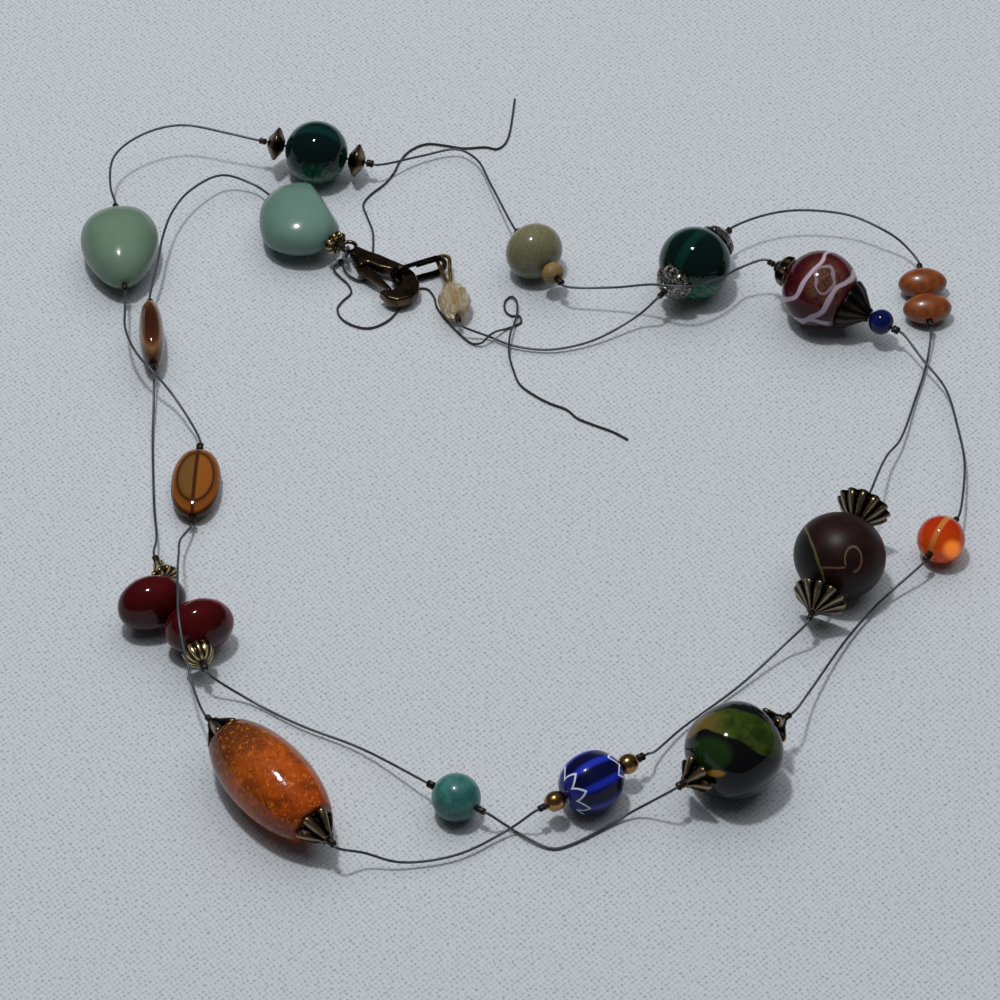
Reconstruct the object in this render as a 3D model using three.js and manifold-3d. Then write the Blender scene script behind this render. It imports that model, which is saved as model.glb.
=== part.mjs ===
// Beaded necklace lying on a table, twice round: one beading wire with glass, stone and metal beads,
// each group held by crimps, closed by a lobster clasp, with a loose sewing thread knotted to the clasp.
// Millimetres, +Z up. The origin is the middle of the necklace's footprint, on the table.
import * as THREE from 'three';
import Module from 'manifold-3d';
import { mergeVertices } from 'three/addons/utils/BufferGeometryUtils.js';

const wasm = await Module();
wasm.setup();

// The stringing
const WIRE = 0.46; // diameter of the coated beading wire
const GAP = 0.3; // play between neighbouring pieces
const BORE = WIRE + 2 * GAP + 0.04; // diameter of every drilled hole
const CRIMP = { wide: 1.5, long: 1.4 };
const MEETING = 'light_green'; // the group inside which the string's two modelled turns meet
const THREAD = 0.42;
const KNOT = { at: [-30.0, 59.8, 0.75], wide: 1.2 };
const THREAD_STEP = 2; // a section of the thread's tube each two millimetres
const HOLE_RIM = 1.9; // diameter of the flat face round a bead's hole
const SHELL = 0.55; // sheet thickness of the bead caps
const CAP_PLAY = 0.45; // between a bead's curve and the inside of its cap

// Beads: length along the hole, width across it and height; full is how square the outline is,
// end the width of the flat end, hole the length of a hole that isn't the bead's own length
const BEADS = {
  aqua_nugget: { long: 17.9, wide: 15.2, tall: 9.8, hole: 17.2, colour: 0x74948c, rough: 0.25 },
  light_green_nugget: { long: 19.4, wide: 14.2, tall: 10.6, hole: 19.4, colour: 0x7c9080, rough: 0.25 },
  topaz_bead_on_edge: { long: 14.4, wide: 4.6, tall: 8.8, full: 2.2, colour: 0x4a2c18, rough: 0.15 },
  topaz_bead_flat: { long: 15.8, wide: 8.9, tall: 4.9, full: 2.2, colour: 0x7a5328, rough: 0.15 },
  red_pebble: { long: 8.8, wide: 12.4, tall: 10.9, colour: 0x3c1214, rough: 0.15 },
  turquoise_bead: { long: 8.2, wide: 8.4, tall: 8.4, colour: 0x437a72, rough: 0.3 },
  green_black_bead: { long: 15.4, wide: 16.2, tall: 16.2, full: 2.5, colour: 0x1c2418, rough: 0.12 },
  orange_red_bead: { long: 8.4, wide: 8.6, tall: 8.6, colour: 0xb0420f, rough: 0.1 },
  cobalt_bead: { long: 4.2, wide: 4.8, tall: 4.8, colour: 0x14206a, rough: 0.3 },
  red_white_bead: { long: 14.0, wide: 14.6, tall: 14.6, colour: 0x4f1a22, rough: 0.2 },
  yellow_bead: { long: 3.2, wide: 4.4, tall: 4.4, colour: 0xae955f, rough: 0.6 },
  taupe_bead: { long: 9.6, wide: 11.0, tall: 11.0, colour: 0x78765f, rough: 0.35 },
  dark_green_bead_1: { long: 11.9, wide: 12.1, tall: 12.1, colour: 0x0b2a26, rough: 0.08 },
  dark_green_bead_2: { long: 13.2, wide: 13.7, tall: 13.7, colour: 0x0b2a26, rough: 0.08 },
  orange_barrel: { long: 23.0, wide: 13.8, tall: 13.8, end: 8.4, colour: 0x9a5118, rough: 0.25 },
  gold_bead: { long: 3.2, wide: 3.5, tall: 3.5, colour: 0x9c8458, rough: 0.3 },
  chevron_bead: { long: 11.0, wide: 10.6, tall: 10.6, full: 2.2, end: 3.2, colour: 0x1e2c78, rough: 0.3 },
  brown_bead: { long: 15.4, wide: 16.4, tall: 15.4, colour: 0x352022, rough: 0.6 },
  orange_disc: { long: 6.4, wide: 9.2, tall: 5.6, full: 1.7, colour: 0xa2612c, rough: 0.45 },
  crystal_bead: { long: 7.6, wide: 6.2, tall: 6.2, colour: 0xcfc9ae, rough: 0.05 },
  gold_spacer: { long: 1.5, wide: 4.4, tall: 4.4, full: 3, end: 3.4, colour: 0xa08a54, rough: 0.35 },
};

// Metal bead caps: rim and apex diameters, rise from the bead's end to the apex.
// A flat cap's rim stands on the bead's end, or stand millimetres off it; the others follow the bead's curve.
const CAPS = {
  gold_cone_cap: { rim: 5.2, apex: 1.9, rise: 4.0, flat: true, colour: 0x9c8458 },
  gold_fluted_cap: { rim: 5.2, apex: 3.0, rise: 3.5, flat: true, colour: 0xb39a58 },
  dark_flower_cap: { rim: 6.4, apex: 2.2, rise: 3.2, flat: true, colour: 0x4a403a },
  bronze_flower_cap: { rim: 5.6, apex: 2.0, rise: 2.5, colour: 0x6e6246 },
  fluted_cone_cap: { rim: 9.6, apex: 2.6, rise: 3.6, colour: 0x3c362f },
  bicone_cap: { rim: 6.5, apex: 1.9, rise: 3.2, bicone: true, colour: 0x6a5a3e },
  barrel_flower_cap: { rim: 6.6, apex: 2.4, rise: 4.3, flat: true, colour: 0x3e3630 },
  shell_cap: { rim: 9.4, apex: 2.2, rise: 5.3, flat: true, stand: 1.5, colour: 0x6d6557 },
  flared_shell_cap: { rim: 9.6, apex: 3.0, rise: 3.8, flared: true, colour: 0x6d6557 },
  silver_filigree_cap: { rim: 7.2, apex: 2.4, rise: 2.9, colour: 0x9a938a },
};

// The clasp and what it holds
const CLASP = { at: [-28.5, 62.1, 2.4], heading: -51.4, pitch: 0, long: 18.6, wide: 8.0, thick: 2.2 };
const CLASP_RING = { radius: 1.35, stock: 0.9 };
const LEVER = { long: 9.0, thick: 0.8, wide: 0.8, pin: 0.9, eye: 2.8, thumb: 1.5 };
const LINK = { long: 11.3, tall: 4.9, stock: 0.9, heading: 22 };
const END_LOOP = { radius: 1, turn: -102.4, join: 30 }; // the wire's loop: where it holds the clasp's ring
const GOLD_LOOP = { long: 8.1, wide: 3.5, stock: 0.8, hold: 5.9 }; // hold: from its crimp to the link

// The link's end lies in the clasp's mouth, at these shares of the clasp's length and width. Its other end
// lies in the gold loop, so the crystal bead at the loop's foot takes its place from the clasp and the link.
const GRIP = { along: 0.63, side: 0.175 };
const CRYSTAL = { heading: 100.5, high: 3.14 };
const stepFrom = ([x, y], heading, along, side = 0) => {
  const turn = (heading * Math.PI) / 180;
  return [x + along * Math.cos(turn) - side * Math.sin(turn), y + along * Math.sin(turn) + side * Math.cos(turn)];
};
const linkFoot = stepFrom(CLASP.at, CLASP.heading, GRIP.along * CLASP.long, GRIP.side * CLASP.wide);
const linkHead = stepFrom(linkFoot, LINK.heading, LINK.long - LINK.stock);
const crystalReach = BEADS.crystal_bead.long / 2 + GAP + CRIMP.long / 2;
const crystalAt = stepFrom(linkHead, CRYSTAL.heading, -GOLD_LOOP.hold - crystalReach);

// Route of the string, from the clasp's ring to the crystal at its other end, in the order of the string.
// A group of beads has its middle, heading and pitch; between two groups the wire goes by a few points.
const ROUTE = [
  [-28.81, 58.77, 3.9], [-28.9, 58.03, 5.1],
  { group: 'aqua', at: [-37.1, 67.4, 4.4], heading: 130.7, pitch: -6.5 },
  [-47.0, 78.7, 2.6], [-52.9, 79.6, 4.3], [-58.7, 74.2, 5.6], [-61.8, 68.0, 6.1], [-63.3, 61.0, 6.4],
  [-64.0, 54.5, 6.0],
  { group: 'topaz_on_edge', at: [-64.3, 36.8, 4.6], heading: -84.9, pitch: -0.6 },
  [-63.3, 22.5, 2.5], [-63.2, 14.8, 0.8], [-62.7, 6.2, 0.4], [-62.0, -3.1, 0.8], [-61.1, -11.3, 2.5],
  { group: 'red', at: [-55.75, -31.6, 5.5], heading: -68.9, pitch: 0 },
  [-43.4, -47.5, 1.2], [-34.6, -53.0, 1.1], [-23.9, -58.5, 1.5],
  { group: 'turquoise', at: [-7.4, -71.4, 4.22], heading: -32.8, pitch: 0 },
  [2.0, -75.3, 0.6], [4.6, -77.3, 0.7], [8.9, -79.3, 0.4], [12.8, -78.0, 0.4], [22.7, -72.3, 1.8],
  { group: 'green_black', at: [39.6, -64.4, 8.14], heading: 38.8, pitch: 0 },
  [53.6, -47.4, 3.8], [60.6, -34.1, 1.6], [66.7, -25.8, 1.7],
  { group: 'orange_red', at: [78.2, -13.3, 4.32], heading: 57.7, pitch: 0 },
  [83.3, 0.8, 3.0], [83.9, 7.7, 2.4], [83.3, 15.5, 2.2], [81.6, 25.2, 2.6], [77.6, 32.1, 3.4],
  { group: 'red_white', at: [59.4, 46.0, 7.32], heading: 149.2, pitch: 8.5 },
  [44.6, 51.0, 7.9], [41.8, 48.2, 8.7], [38.6, 45.7, 9.6], [35.2, 44.1, 10.1], [31.4, 44.2, 10.0],
  [28.0, 45.9, 8.7], [21.2, 47.4, 6.4],
  { group: 'taupe', at: [6.4, 57.8, 5.52], heading: 121, pitch: 0 },
  [-1.8, 78.3, 3.2], [-4.5, 86.1, 2.2], [-8.2, 89.1, 2.0], [-15.0, 87.4, 1.9],
  { group: 'dark_green_1', at: [-35.1, 84.0, 6.07], heading: 170.9, pitch: 7.5 },
  [-51.9, 87.1, 8.1], [-61.3, 89.1, 8.4], [-68.6, 86.8, 8.0], [-73.6, 81.7, 7.2], [-74.0, 74.9, 6.0],
  { group: 'light_green', at: [-71.3, 59.0, 5.4], heading: -82.4, pitch: 0 },
  [-69.4, 41.3, 6.2], [-69.1, 36.8, 6.8], [-67.8, 32.3, 7.2], [-65.9, 28.6, 7.2], [-63.8, 26.0, 6.9],
  [-59.3, 21.3, 4.2],
  { group: 'topaz_flat', at: [-54.7, 1.8, 2.5], heading: -92.1, pitch: 0 },
  [-56.6, -13.8, 4.9], [-56.4, -20.7, 8.7], [-56.2, -26.6, 11.0], [-55.9, -31.7, 11.6], [-55.6, -36.3, 11.4],
  [-54.8, -41.2, 9.8], [-53.6, -45.9, 7.7], [-52.4, -50.2, 6.8],
  { group: 'barrel', at: [-38.8, -69.8, 6.92], heading: -50.2, pitch: -1.7 },
  [-22.8, -82.8, 3.8], [-16.7, -83.2, 1.7], [-7.0, -81.3, 1.4], [2.0, -75.9, 1.8],
  { group: 'chevron', at: [15.5, -69.0, 5.32], heading: 32.8, pitch: 0 },
  [26.4, -60.4, 2.9], [31.2, -54.1, 1.4], [41.5, -44.4, 1.2], [49.8, -36.6, 3.4],
  { group: 'brown', at: [59.7, -20.2, 7.75], heading: 66.1, pitch: 6 },
  [69.6, 6.4, 4.6], [72.6, 12.4, 2.6], [76.0, 23.4, 1.2], [78.8, 33.1, 1.2],
  { group: 'discs', at: [79.3, 48.7, 2.84], heading: 93.9, pitch: 0 },
  [75.3, 61.6, 4.5], [71.4, 63.6, 6.0], [66.2, 66.2, 6.6], [60.2, 67.3, 6.8], [54.4, 67.3, 6.8],
  [49.0, 65.9, 6.7],
  { group: 'dark_green_2', at: [36.4, 53.4, 6.87], heading: -127.9, pitch: 0 },
  [25.8, 43.2, 3.4], [18.6, 39.3, 1.4], [13.5, 37.4, 1.0], [8.3, 36.7, 0.8], [2.3, 37.8, 0.8],
  [-1.8, 39.9, 0.9],
  { group: 'crystal', at: [...crystalAt, CRYSTAL.high], heading: CRYSTAL.heading, pitch: 0 },
];

// The two ends of the sewing thread, each from the knot at the clasp's ring to its bare tip
const THREADS = {
  thread_lower_tail: [
    [-30.7, 59.0, 0.8], [-31.4, 58.0, 0.8], [-30.1, 56.0, 0.5], [-28.6, 54.3, 0.3], [-27.9, 52.0, 0.3],
    [-29.4, 49.9, 0.3], [-30.4, 47.8, 0.3], [-29.5, 45.2, 0.3], [-27.0, 43.3, 0.3], [-24.2, 42.8, 0.3],
    [-20.9, 44.7, 0.3], [-18.9, 47.7, 0.3], [-17.2, 51.0, 0.3], [-15.6, 53.0, 0.3], [-13.7, 53.0, 0.3],
    [-12.4, 51.0, 0.3], [-11.8, 48.2, 0.3], [-9.6, 44.2, 0.3], [-7.3, 41.0, 0.3], [-5.2, 38.8, 0.3],
    [-3.4, 38.3, 1.0], [-2.0, 39.3, 1.9], [-0.6, 40.8, 1.5], [0.9, 42.3, 0.5], [2.4, 43.2, 0.3],
    [3.9, 44.3, 0.3], [3.6, 45.9, 0.3], [2.1, 46.0, 0.3], [1.0, 47.3, 0.3], [1.0, 49.8, 0.3],
    [2.1, 50.9, 0.4], [3.0, 49.6, 0.8], [3.2, 46.1, 1.1], [2.6, 42.8, 1.3], [2.0, 40.2, 1.9],
    [1.7, 37.7, 2.0], [1.7, 35.0, 1.2], [2.5, 31.9, 0.3], [3.7, 28.3, 0.3], [6.7, 25.3, 0.3],
    [9.1, 23.6, 0.3], [12.2, 22.0, 0.3], [14.2, 19.8, 0.3], [16.7, 18.4, 0.3], [20.7, 16.4, 0.3],
    [23.3, 14.5, 0.3],
  ],
  thread_upper_tail: [
    [-29.6, 58.7, 0.8], [-29.4, 57.8, 0.8], [-28.7, 56.6, 0.7], [-27.6, 55.5, 0.7], [-26.2, 54.9, 0.5],
    [-24.9, 55.6, 0.3], [-23.7, 57.2, 0.3], [-23.3, 59.4, 0.3], [-24.0, 62.9, 0.3], [-24.0, 65.3, 0.3],
    [-24.2, 68.5, 0.3], [-25.3, 72.3, 0.3], [-26.1, 75.6, 0.3], [-25.0, 78.0, 0.3], [-21.9, 81.6, 0.3],
    [-20.3, 84.6, 0.3], [-19.3, 87.5, 0.3], [-17.2, 90.7, 0.3], [-14.1, 92.4, 0.3], [-10.3, 91.9, 0.3],
    [-7.1, 91.2, 0.3], [-2.7, 91.5, 0.3], [-0.6, 91.0, 0.3], [0.8, 92.2, 0.3], [1.7, 94.6, 0.3],
    [2.3, 98.9, 0.3], [2.9, 105.1, 0.3],
  ],
};

const vector = (point) => new THREE.Vector3(...point);
const radians = THREE.MathUtils.degToRad;

// A closed mesh with only its positions, for joining, cutting and export
function bare(geometry) {
  const copy = geometry.clone();
  copy.deleteAttribute('normal');
  copy.deleteAttribute('uv');
  return mergeVertices(copy, 1e-5);
}

function toManifold(geometry) {
  const shape = bare(geometry);
  return new wasm.Manifold(new wasm.Mesh({
    numProp: 3,
    vertProperties: new Float32Array(shape.attributes.position.array),
    triVerts: new Uint32Array(shape.index.array),
  }));
}

function fromManifold(solid) {
  const mesh = solid.getMesh();
  const geometry = new THREE.BufferGeometry();
  geometry.setAttribute('position', new THREE.BufferAttribute(mesh.vertProperties, 3));
  geometry.setIndex(new THREE.BufferAttribute(mesh.triVerts, 1));
  return geometry;
}

const join = (shapes) => fromManifold(shapes.map(toManifold).reduce((sum, next) => sum.add(next)));
const cut = (shape, tools) => fromManifold(
  tools.map(toManifold).reduce((rest, tool) => rest.subtract(tool), toManifold(shape)));

function metal(colour, rough = 0.4) {
  return new THREE.MeshStandardMaterial({ color: colour, roughness: rough, metalness: 0.9 });
}

function glaze(colour, rough) {
  return new THREE.MeshStandardMaterial({ color: colour, roughness: rough, metalness: 0 });
}

// A closed profile of [distance along, radius] pairs, in either sense, turned about +X
function turned(profile, sides) {
  const outline = profile.map(([along, radius]) => new THREE.Vector2(radius, along));
  if (THREE.ShapeUtils.area(outline) < 0) outline.reverse();
  outline.push(outline[0].clone());
  return new THREE.LatheGeometry(outline, sides).rotateZ(-Math.PI / 2);
}

// Radius of a bead's outside at a distance from its middle: an oval, fuller where `full` is above 2
function beadRadius(bead, along) {
  const full = bead.full ?? 2;
  const end = (bead.end ?? HOLE_RIM) / bead.wide;
  const tip = (bead.long / 2) / (1 - end ** full) ** (1 / full);
  return (bead.wide / 2) * (1 - Math.abs(along / tip) ** full) ** (1 / full);
}

function roundBead(bead, sides, rings) {
  const outside = [];
  for (let ring = 0; ring <= rings; ring += 1) {
    const along = -(bead.long / 2) * Math.cos((Math.PI * ring) / rings);
    outside.push([along, beadRadius(bead, along)]);
  }
  const shape = turned([...outside, [bead.long / 2, BORE / 2], [-bead.long / 2, BORE / 2]], sides);
  const place = shape.attributes.position;
  for (let index = 0; index < place.count; index += 1) {
    const radius = Math.hypot(place.getY(index), place.getZ(index));
    if (radius > BORE / 2 + 0.01) place.setZ(index, (place.getZ(index) * bead.tall) / bead.wide);
  }
  return shape;
}

// A tumbled stone: a rounded, slightly boxy oval, drilled along X at a distance `side` and `up` from its middle
function nugget(bead, { sides, rings, turn = 0, side = 0, up = 0, taper = 0, box = 2.3 }) {
  const shape = new THREE.SphereGeometry(1, sides, rings).rotateX(Math.PI / 2);
  const place = shape.attributes.position;
  for (let index = 0; index < place.count; index += 1) {
    const spot = new THREE.Vector3().fromBufferAttribute(place, index);
    const size = (Math.abs(spot.x) ** box + Math.abs(spot.y) ** box + Math.abs(spot.z) ** box) ** (1 / box);
    spot.divideScalar(size);
    spot.y *= 1 - taper * spot.x;
    spot.multiply(new THREE.Vector3(bead.long / 2, bead.wide / 2, bead.tall / 2));
    place.setXYZ(index, spot.x, spot.y, spot.z);
  }
  shape.rotateZ(radians(turn)).translate(0, -side, -up);
  const hole = new THREE.CylinderGeometry(BORE / 2, BORE / 2, 3 * bead.long, 10).rotateZ(Math.PI / 2);
  return cut(shape, [hole]);
}

// A bead cap along +X, its inside 0.3 mm off the bead's end, whose pole is at x = 0
function capShape(cap, seat, sides) {
  const hole = BORE / 2;
  const [rim, apex] = [cap.rim / 2, cap.apex / 2];
  const inside = (radius) => (cap.flat ? cap.stand ?? GAP : Math.sqrt((seat + CAP_PLAY) ** 2 - radius ** 2) - seat);
  if (cap.bicone) {
    const belly = GAP + cap.rise / 2;
    return turned([[GAP, hole], [GAP, apex], [belly - 0.3, rim], [belly + 0.3, rim], [GAP + cap.rise, apex],
      [GAP + cap.rise, hole]], sides);
  }
  if (cap.flared) {
    const mouth = GAP + cap.rise;
    return turned([[GAP, hole], [GAP, apex], [GAP + 0.45 * cap.rise, 0.72 * rim], [mouth, rim],
      [mouth, rim - SHELL], [GAP + 0.5 * cap.rise, 0.72 * rim - 1.2 * SHELL], [GAP + SHELL, apex - 0.4],
      [GAP + SHELL, hole]], sides);
  }
  const shoulder = inside(rim) + SHELL + 0.62 * (cap.rise - inside(rim) - SHELL);
  return turned([[inside(hole), hole], [inside(0.6 * rim), 0.6 * rim], [inside(rim), rim],
    [inside(rim) + SHELL, rim], [shoulder, 0.5 * (rim + apex) + 0.12 * rim], [cap.rise, apex],
    [cap.rise, hole]], sides);
}

// The straight run through a group: local +X is the string's direction
function groupFrame({ at, heading, pitch }) {
  const frame = new THREE.Group();
  frame.position.set(...at);
  frame.rotation.set(0, -radians(pitch), radians(heading), 'ZYX');
  frame.updateMatrix();
  return frame;
}

const necklace = new THREE.Group();
necklace.name = 'necklace';
const laid = new THREE.Group();
necklace.add(laid);

function addPiece(parent, name, geometry, material) {
  const mesh = new THREE.Mesh(geometry, material);
  mesh.name = name;
  parent.add(mesh);
  return mesh;
}

const copies = {};
function numbered(name) {
  copies[name] = (copies[name] ?? 0) + 1;
  return copies[name] === 1 ? name : `${name}_${copies[name]}`;
}

// Fineness of the turned pieces, by their width
const sidesOf = (width) => (width > 12 ? 14 : width > 5 ? 12 : 10);
const ringsOf = (width) => (width > 12 ? 8 : width > 5 ? 7 : 5);

// Builds one group outwards from its main bead. The two sides list what follows the bead, nearest first:
// a bead by its name, or a cap by its name. Returns where the string leaves each side.
function beadGroup(frame, { bead, before = [], after = [] }) {
  const main = BEADS[bead];
  addPiece(frame, bead, roundBead(main, sidesOf(main.wide), ringsOf(main.wide)), glaze(main.colour, main.rough));
  const ends = [[-1, before], [1, after]].map(([way, list]) => {
    let reach = main.long / 2;
    let inner = main;
    for (const name of list) {
      if (CAPS[name]) {
        const cap = CAPS[name];
        const slope = inner.wide ** 2 / (2 * inner.long);
        const shape = capShape(cap, slope, sidesOf(cap.rim));
        if (way < 0) shape.rotateZ(Math.PI);
        const piece = addPiece(frame, numbered(name), shape, metal(cap.colour));
        piece.position.x = way * reach;
        reach += (cap.flat || cap.bicone || cap.flared) ? GAP + cap.rise : cap.rise;
        if (cap.flat) reach -= GAP;
      } else {
        const small = BEADS[name];
        const shape = roundBead(small, sidesOf(small.wide), ringsOf(small.wide));
        const piece = addPiece(frame, numbered(name), shape, glaze(small.colour, small.rough));
        piece.position.x = way * (reach + GAP + small.long / 2);
        reach += GAP + small.long;
        inner = small;
      }
    }
    return reach;
  });
  return { start: -ends[0], end: ends[1] };
}

// Two pebbles drilled off their middles lie nested beside the string, between two gold caps
function redPebbles(frame) {
  const bead = BEADS.red_pebble;
  const [left, right] = [-3.9, 2.1];
  const slant = (right - left) / bead.wide;
  const spacing = bead.long * Math.sqrt(1 - slant ** 2) + GAP + 0.05;
  const material = glaze(bead.colour, bead.rough);
  [[left, -spacing / 2, 'red_pebble_1'], [right, spacing / 2, 'red_pebble_2']].forEach(([side, along, name]) => {
    const shape = nugget(bead, { sides: 14, rings: 9, side: -side, box: 2 });
    addPiece(frame, name, shape, material).position.x = along;
  });
  const reach = (spacing + bead.long) / 2;
  const cone = addPiece(frame, 'gold_cone_cap', capShape(CAPS.gold_cone_cap, 1, 12).rotateZ(Math.PI),
    metal(CAPS.gold_cone_cap.colour));
  cone.position.x = -reach;
  const fluted = addPiece(frame, 'gold_fluted_cap', capShape(CAPS.gold_fluted_cap, 1, 12),
    metal(CAPS.gold_fluted_cap.colour));
  fluted.position.x = reach;
  return { start: -reach - CAPS.gold_cone_cap.rise, end: reach + CAPS.gold_fluted_cap.rise };
}

function nuggetGroup(name, options, sleeve) {
  return (frame) => {
    const bead = BEADS[name];
    addPiece(frame, name, nugget(bead, { sides: 14, rings: 9, ...options }), glaze(bead.colour, bead.rough));
    const reach = { start: -bead.hole / 2, end: bead.hole / 2 };
    if (sleeve) {
      const spacer = BEADS[sleeve];
      const piece = addPiece(frame, sleeve, roundBead(spacer, 12, 4), metal(spacer.colour, spacer.rough));
      piece.position.x = reach.start - GAP - spacer.long / 2;
      reach.start -= GAP + spacer.long;
    }
    return reach;
  };
}

// A coin bead drilled edge to edge, twice, lying flat side by side
function discPair(frame) {
  const bead = BEADS.orange_disc;
  const material = glaze(bead.colour, bead.rough);
  [-1, 1].forEach((way) => {
    const piece = addPiece(frame, numbered('orange_disc'), roundBead(bead, 12, 7), material);
    piece.position.x = way * (bead.long + GAP) / 2;
  });
  return { start: -bead.long - GAP / 2, end: bead.long + GAP / 2 };
}

// A cut bead: eight flat sides, a table round each hole and a faceted shoulder
function crystalBead(frame) {
  const bead = BEADS.crystal_bead;
  const [half, wide] = [bead.long / 2, bead.wide / 2];
  const profile = [[-half, BORE / 2], [half, BORE / 2], [half, 0.42 * wide], [0.62 * half, 0.8 * wide],
    [0.18 * half, wide], [-0.18 * half, wide], [-0.62 * half, 0.8 * wide], [-half, 0.42 * wide]];
  const shape = turned(profile, 8);
  addPiece(frame, 'crystal_bead', shape, glaze(bead.colour, bead.rough));
  return { start: -half, end: half };
}

const GROUPS = {
  aqua: nuggetGroup('aqua_nugget', { turn: -40.7, side: -0.75, up: -0.62, box: 2.2 }, 'gold_spacer'),
  topaz_on_edge: (frame) => beadGroup(frame, { bead: 'topaz_bead_on_edge' }),
  red: redPebbles,
  turquoise: (frame) => beadGroup(frame, { bead: 'turquoise_bead' }),
  green_black: (frame) => beadGroup(frame,
    { bead: 'green_black_bead', before: ['dark_flower_cap'], after: ['dark_flower_cap'] }),
  orange_red: (frame) => beadGroup(frame, { bead: 'orange_red_bead' }),
  red_white: (frame) => beadGroup(frame,
    { bead: 'red_white_bead', before: ['fluted_cone_cap', 'cobalt_bead'], after: ['bronze_flower_cap'] }),
  taupe: (frame) => beadGroup(frame, { bead: 'taupe_bead', before: ['yellow_bead'] }),
  dark_green_1: (frame) => beadGroup(frame,
    { bead: 'dark_green_bead_1', before: ['bicone_cap'], after: ['bicone_cap'] }),
  light_green: nuggetGroup('light_green_nugget', { taper: 0.2 }),
  topaz_flat: (frame) => beadGroup(frame, { bead: 'topaz_bead_flat' }),
  barrel: (frame) => beadGroup(frame,
    { bead: 'orange_barrel', before: ['barrel_flower_cap'], after: ['barrel_flower_cap'] }),
  chevron: (frame) => beadGroup(frame, { bead: 'chevron_bead', before: ['gold_bead'], after: ['gold_bead'] }),
  brown: (frame) => beadGroup(frame, { bead: 'brown_bead', before: ['shell_cap'], after: ['flared_shell_cap'] }),
  discs: discPair,
  dark_green_2: (frame) => beadGroup(frame,
    { bead: 'dark_green_bead_2', before: ['silver_filigree_cap'], after: ['silver_filigree_cap'] }),
  crystal: crystalBead,
};

// A run of given points as a path: the extrusion then has one section at each of them
class Run extends THREE.Curve {
  constructor(points) {
    super();
    this.points = points;
  }

  getPoint(share, target = new THREE.Vector3()) {
    const place = THREE.MathUtils.clamp(share, 0, 1) * (this.points.length - 1);
    const index = Math.min(Math.floor(place), this.points.length - 2);
    return target.lerpVectors(this.points[index], this.points[index + 1], place - index);
  }

  getPointAt(share, target) {
    return this.getPoint(share, target);
  }

  getTangentAt(share, target = new THREE.Vector3()) {
    const step = 0.5 / (this.points.length - 1);
    return target.subVectors(this.getPoint(share + step), this.getPoint(share - step)).normalize();
  }
}

function tube(points, diameter, sides) {
  const section = new THREE.Shape();
  for (let side = 0; side < sides; side += 1) {
    const turn = (2 * Math.PI * side) / sides;
    const [x, y] = [(diameter / 2) * Math.cos(turn), (diameter / 2) * Math.sin(turn)];
    if (side === 0) section.moveTo(x, y);
    else section.lineTo(x, y);
  }
  section.closePath();
  return new THREE.ExtrudeGeometry(section,
    { steps: points.length - 1, bevelEnabled: false, extrudePath: new Run(points) });
}

// Lay the groups out and note where the string enters and leaves each
const stops = ROUTE.map((stop) => {
  if (Array.isArray(stop)) return { via: vector(stop) };
  const frame = groupFrame(stop);
  laid.add(frame);
  const { start, end } = GROUPS[stop.group](frame);
  const offset = GAP + CRIMP.long / 2;
  return {
    frame,
    heading: new THREE.Vector3(1, 0, 0).applyQuaternion(frame.quaternion),
    enter: new THREE.Vector3(start - offset, 0, 0).applyMatrix4(frame.matrix),
    leave: new THREE.Vector3(end + offset, 0, 0).applyMatrix4(frame.matrix),
  };
});

// The string between two groups: a smooth curve by the route's points, straight where it meets the crimps
const STRING_STEP = 3.6;
const LEAD = 1.1;
function freeRun(from, vias, to) {
  const first = from.leave.clone().addScaledVector(from.heading, from.frame ? LEAD : 0.3);
  const last = to.enter.clone().addScaledVector(to.heading, -LEAD);
  const curve = new THREE.CatmullRomCurve3([from.leave, first, ...vias, last, to.enter], false, 'centripetal');
  const steps = Math.max(3, Math.round(curve.getLength() / STRING_STEP));
  return curve.getSpacedPoints(steps);
}

// Where the string's end joins its loop through the clasp's ring
const loopWay = new THREE.Vector3(Math.cos(radians(END_LOOP.turn)), Math.sin(radians(END_LOOP.turn)), 0);
const loopMiddle = vector(CLASP.at).addScaledVector(loopWay, CLASP_RING.radius);
const loopJoin = loopMiddle.clone().addScaledVector(loopWay, END_LOOP.radius * Math.cos(radians(END_LOOP.join)));
loopJoin.z += END_LOOP.radius * Math.sin(radians(END_LOOP.join));

const groupsOnly = stops.filter((stop) => stop.frame);
const beginning = { leave: loopJoin, heading: new THREE.Vector3(0, 0, 1) };
const runs = groupsOnly.map((stop, index) => {
  const [from, to] = [stops.indexOf(groupsOnly[index - 1]), stops.indexOf(stop)];
  const vias = stops.slice(from + 1, to).map((between) => between.via);
  return freeRun(groupsOnly[index - 1] ?? beginning, vias, stop);
});

// The string is modelled as its two turns, which meet inside the light green nugget
const half = ROUTE.filter((stop) => stop.group).findIndex((stop) => stop.group === MEETING);
const meeting = groupsOnly[half];
const meet = (way) => meeting.enter.clone().add(meeting.leave).multiplyScalar(0.5)
  .addScaledVector(meeting.heading, (way * GAP) / 2);
const firstTurn = [...runs.slice(0, half + 1).flat(), meet(-1)];
const secondTurn = [meet(1), ...runs.slice(half + 1).flat(), groupsOnly[groupsOnly.length - 1].leave];

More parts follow.
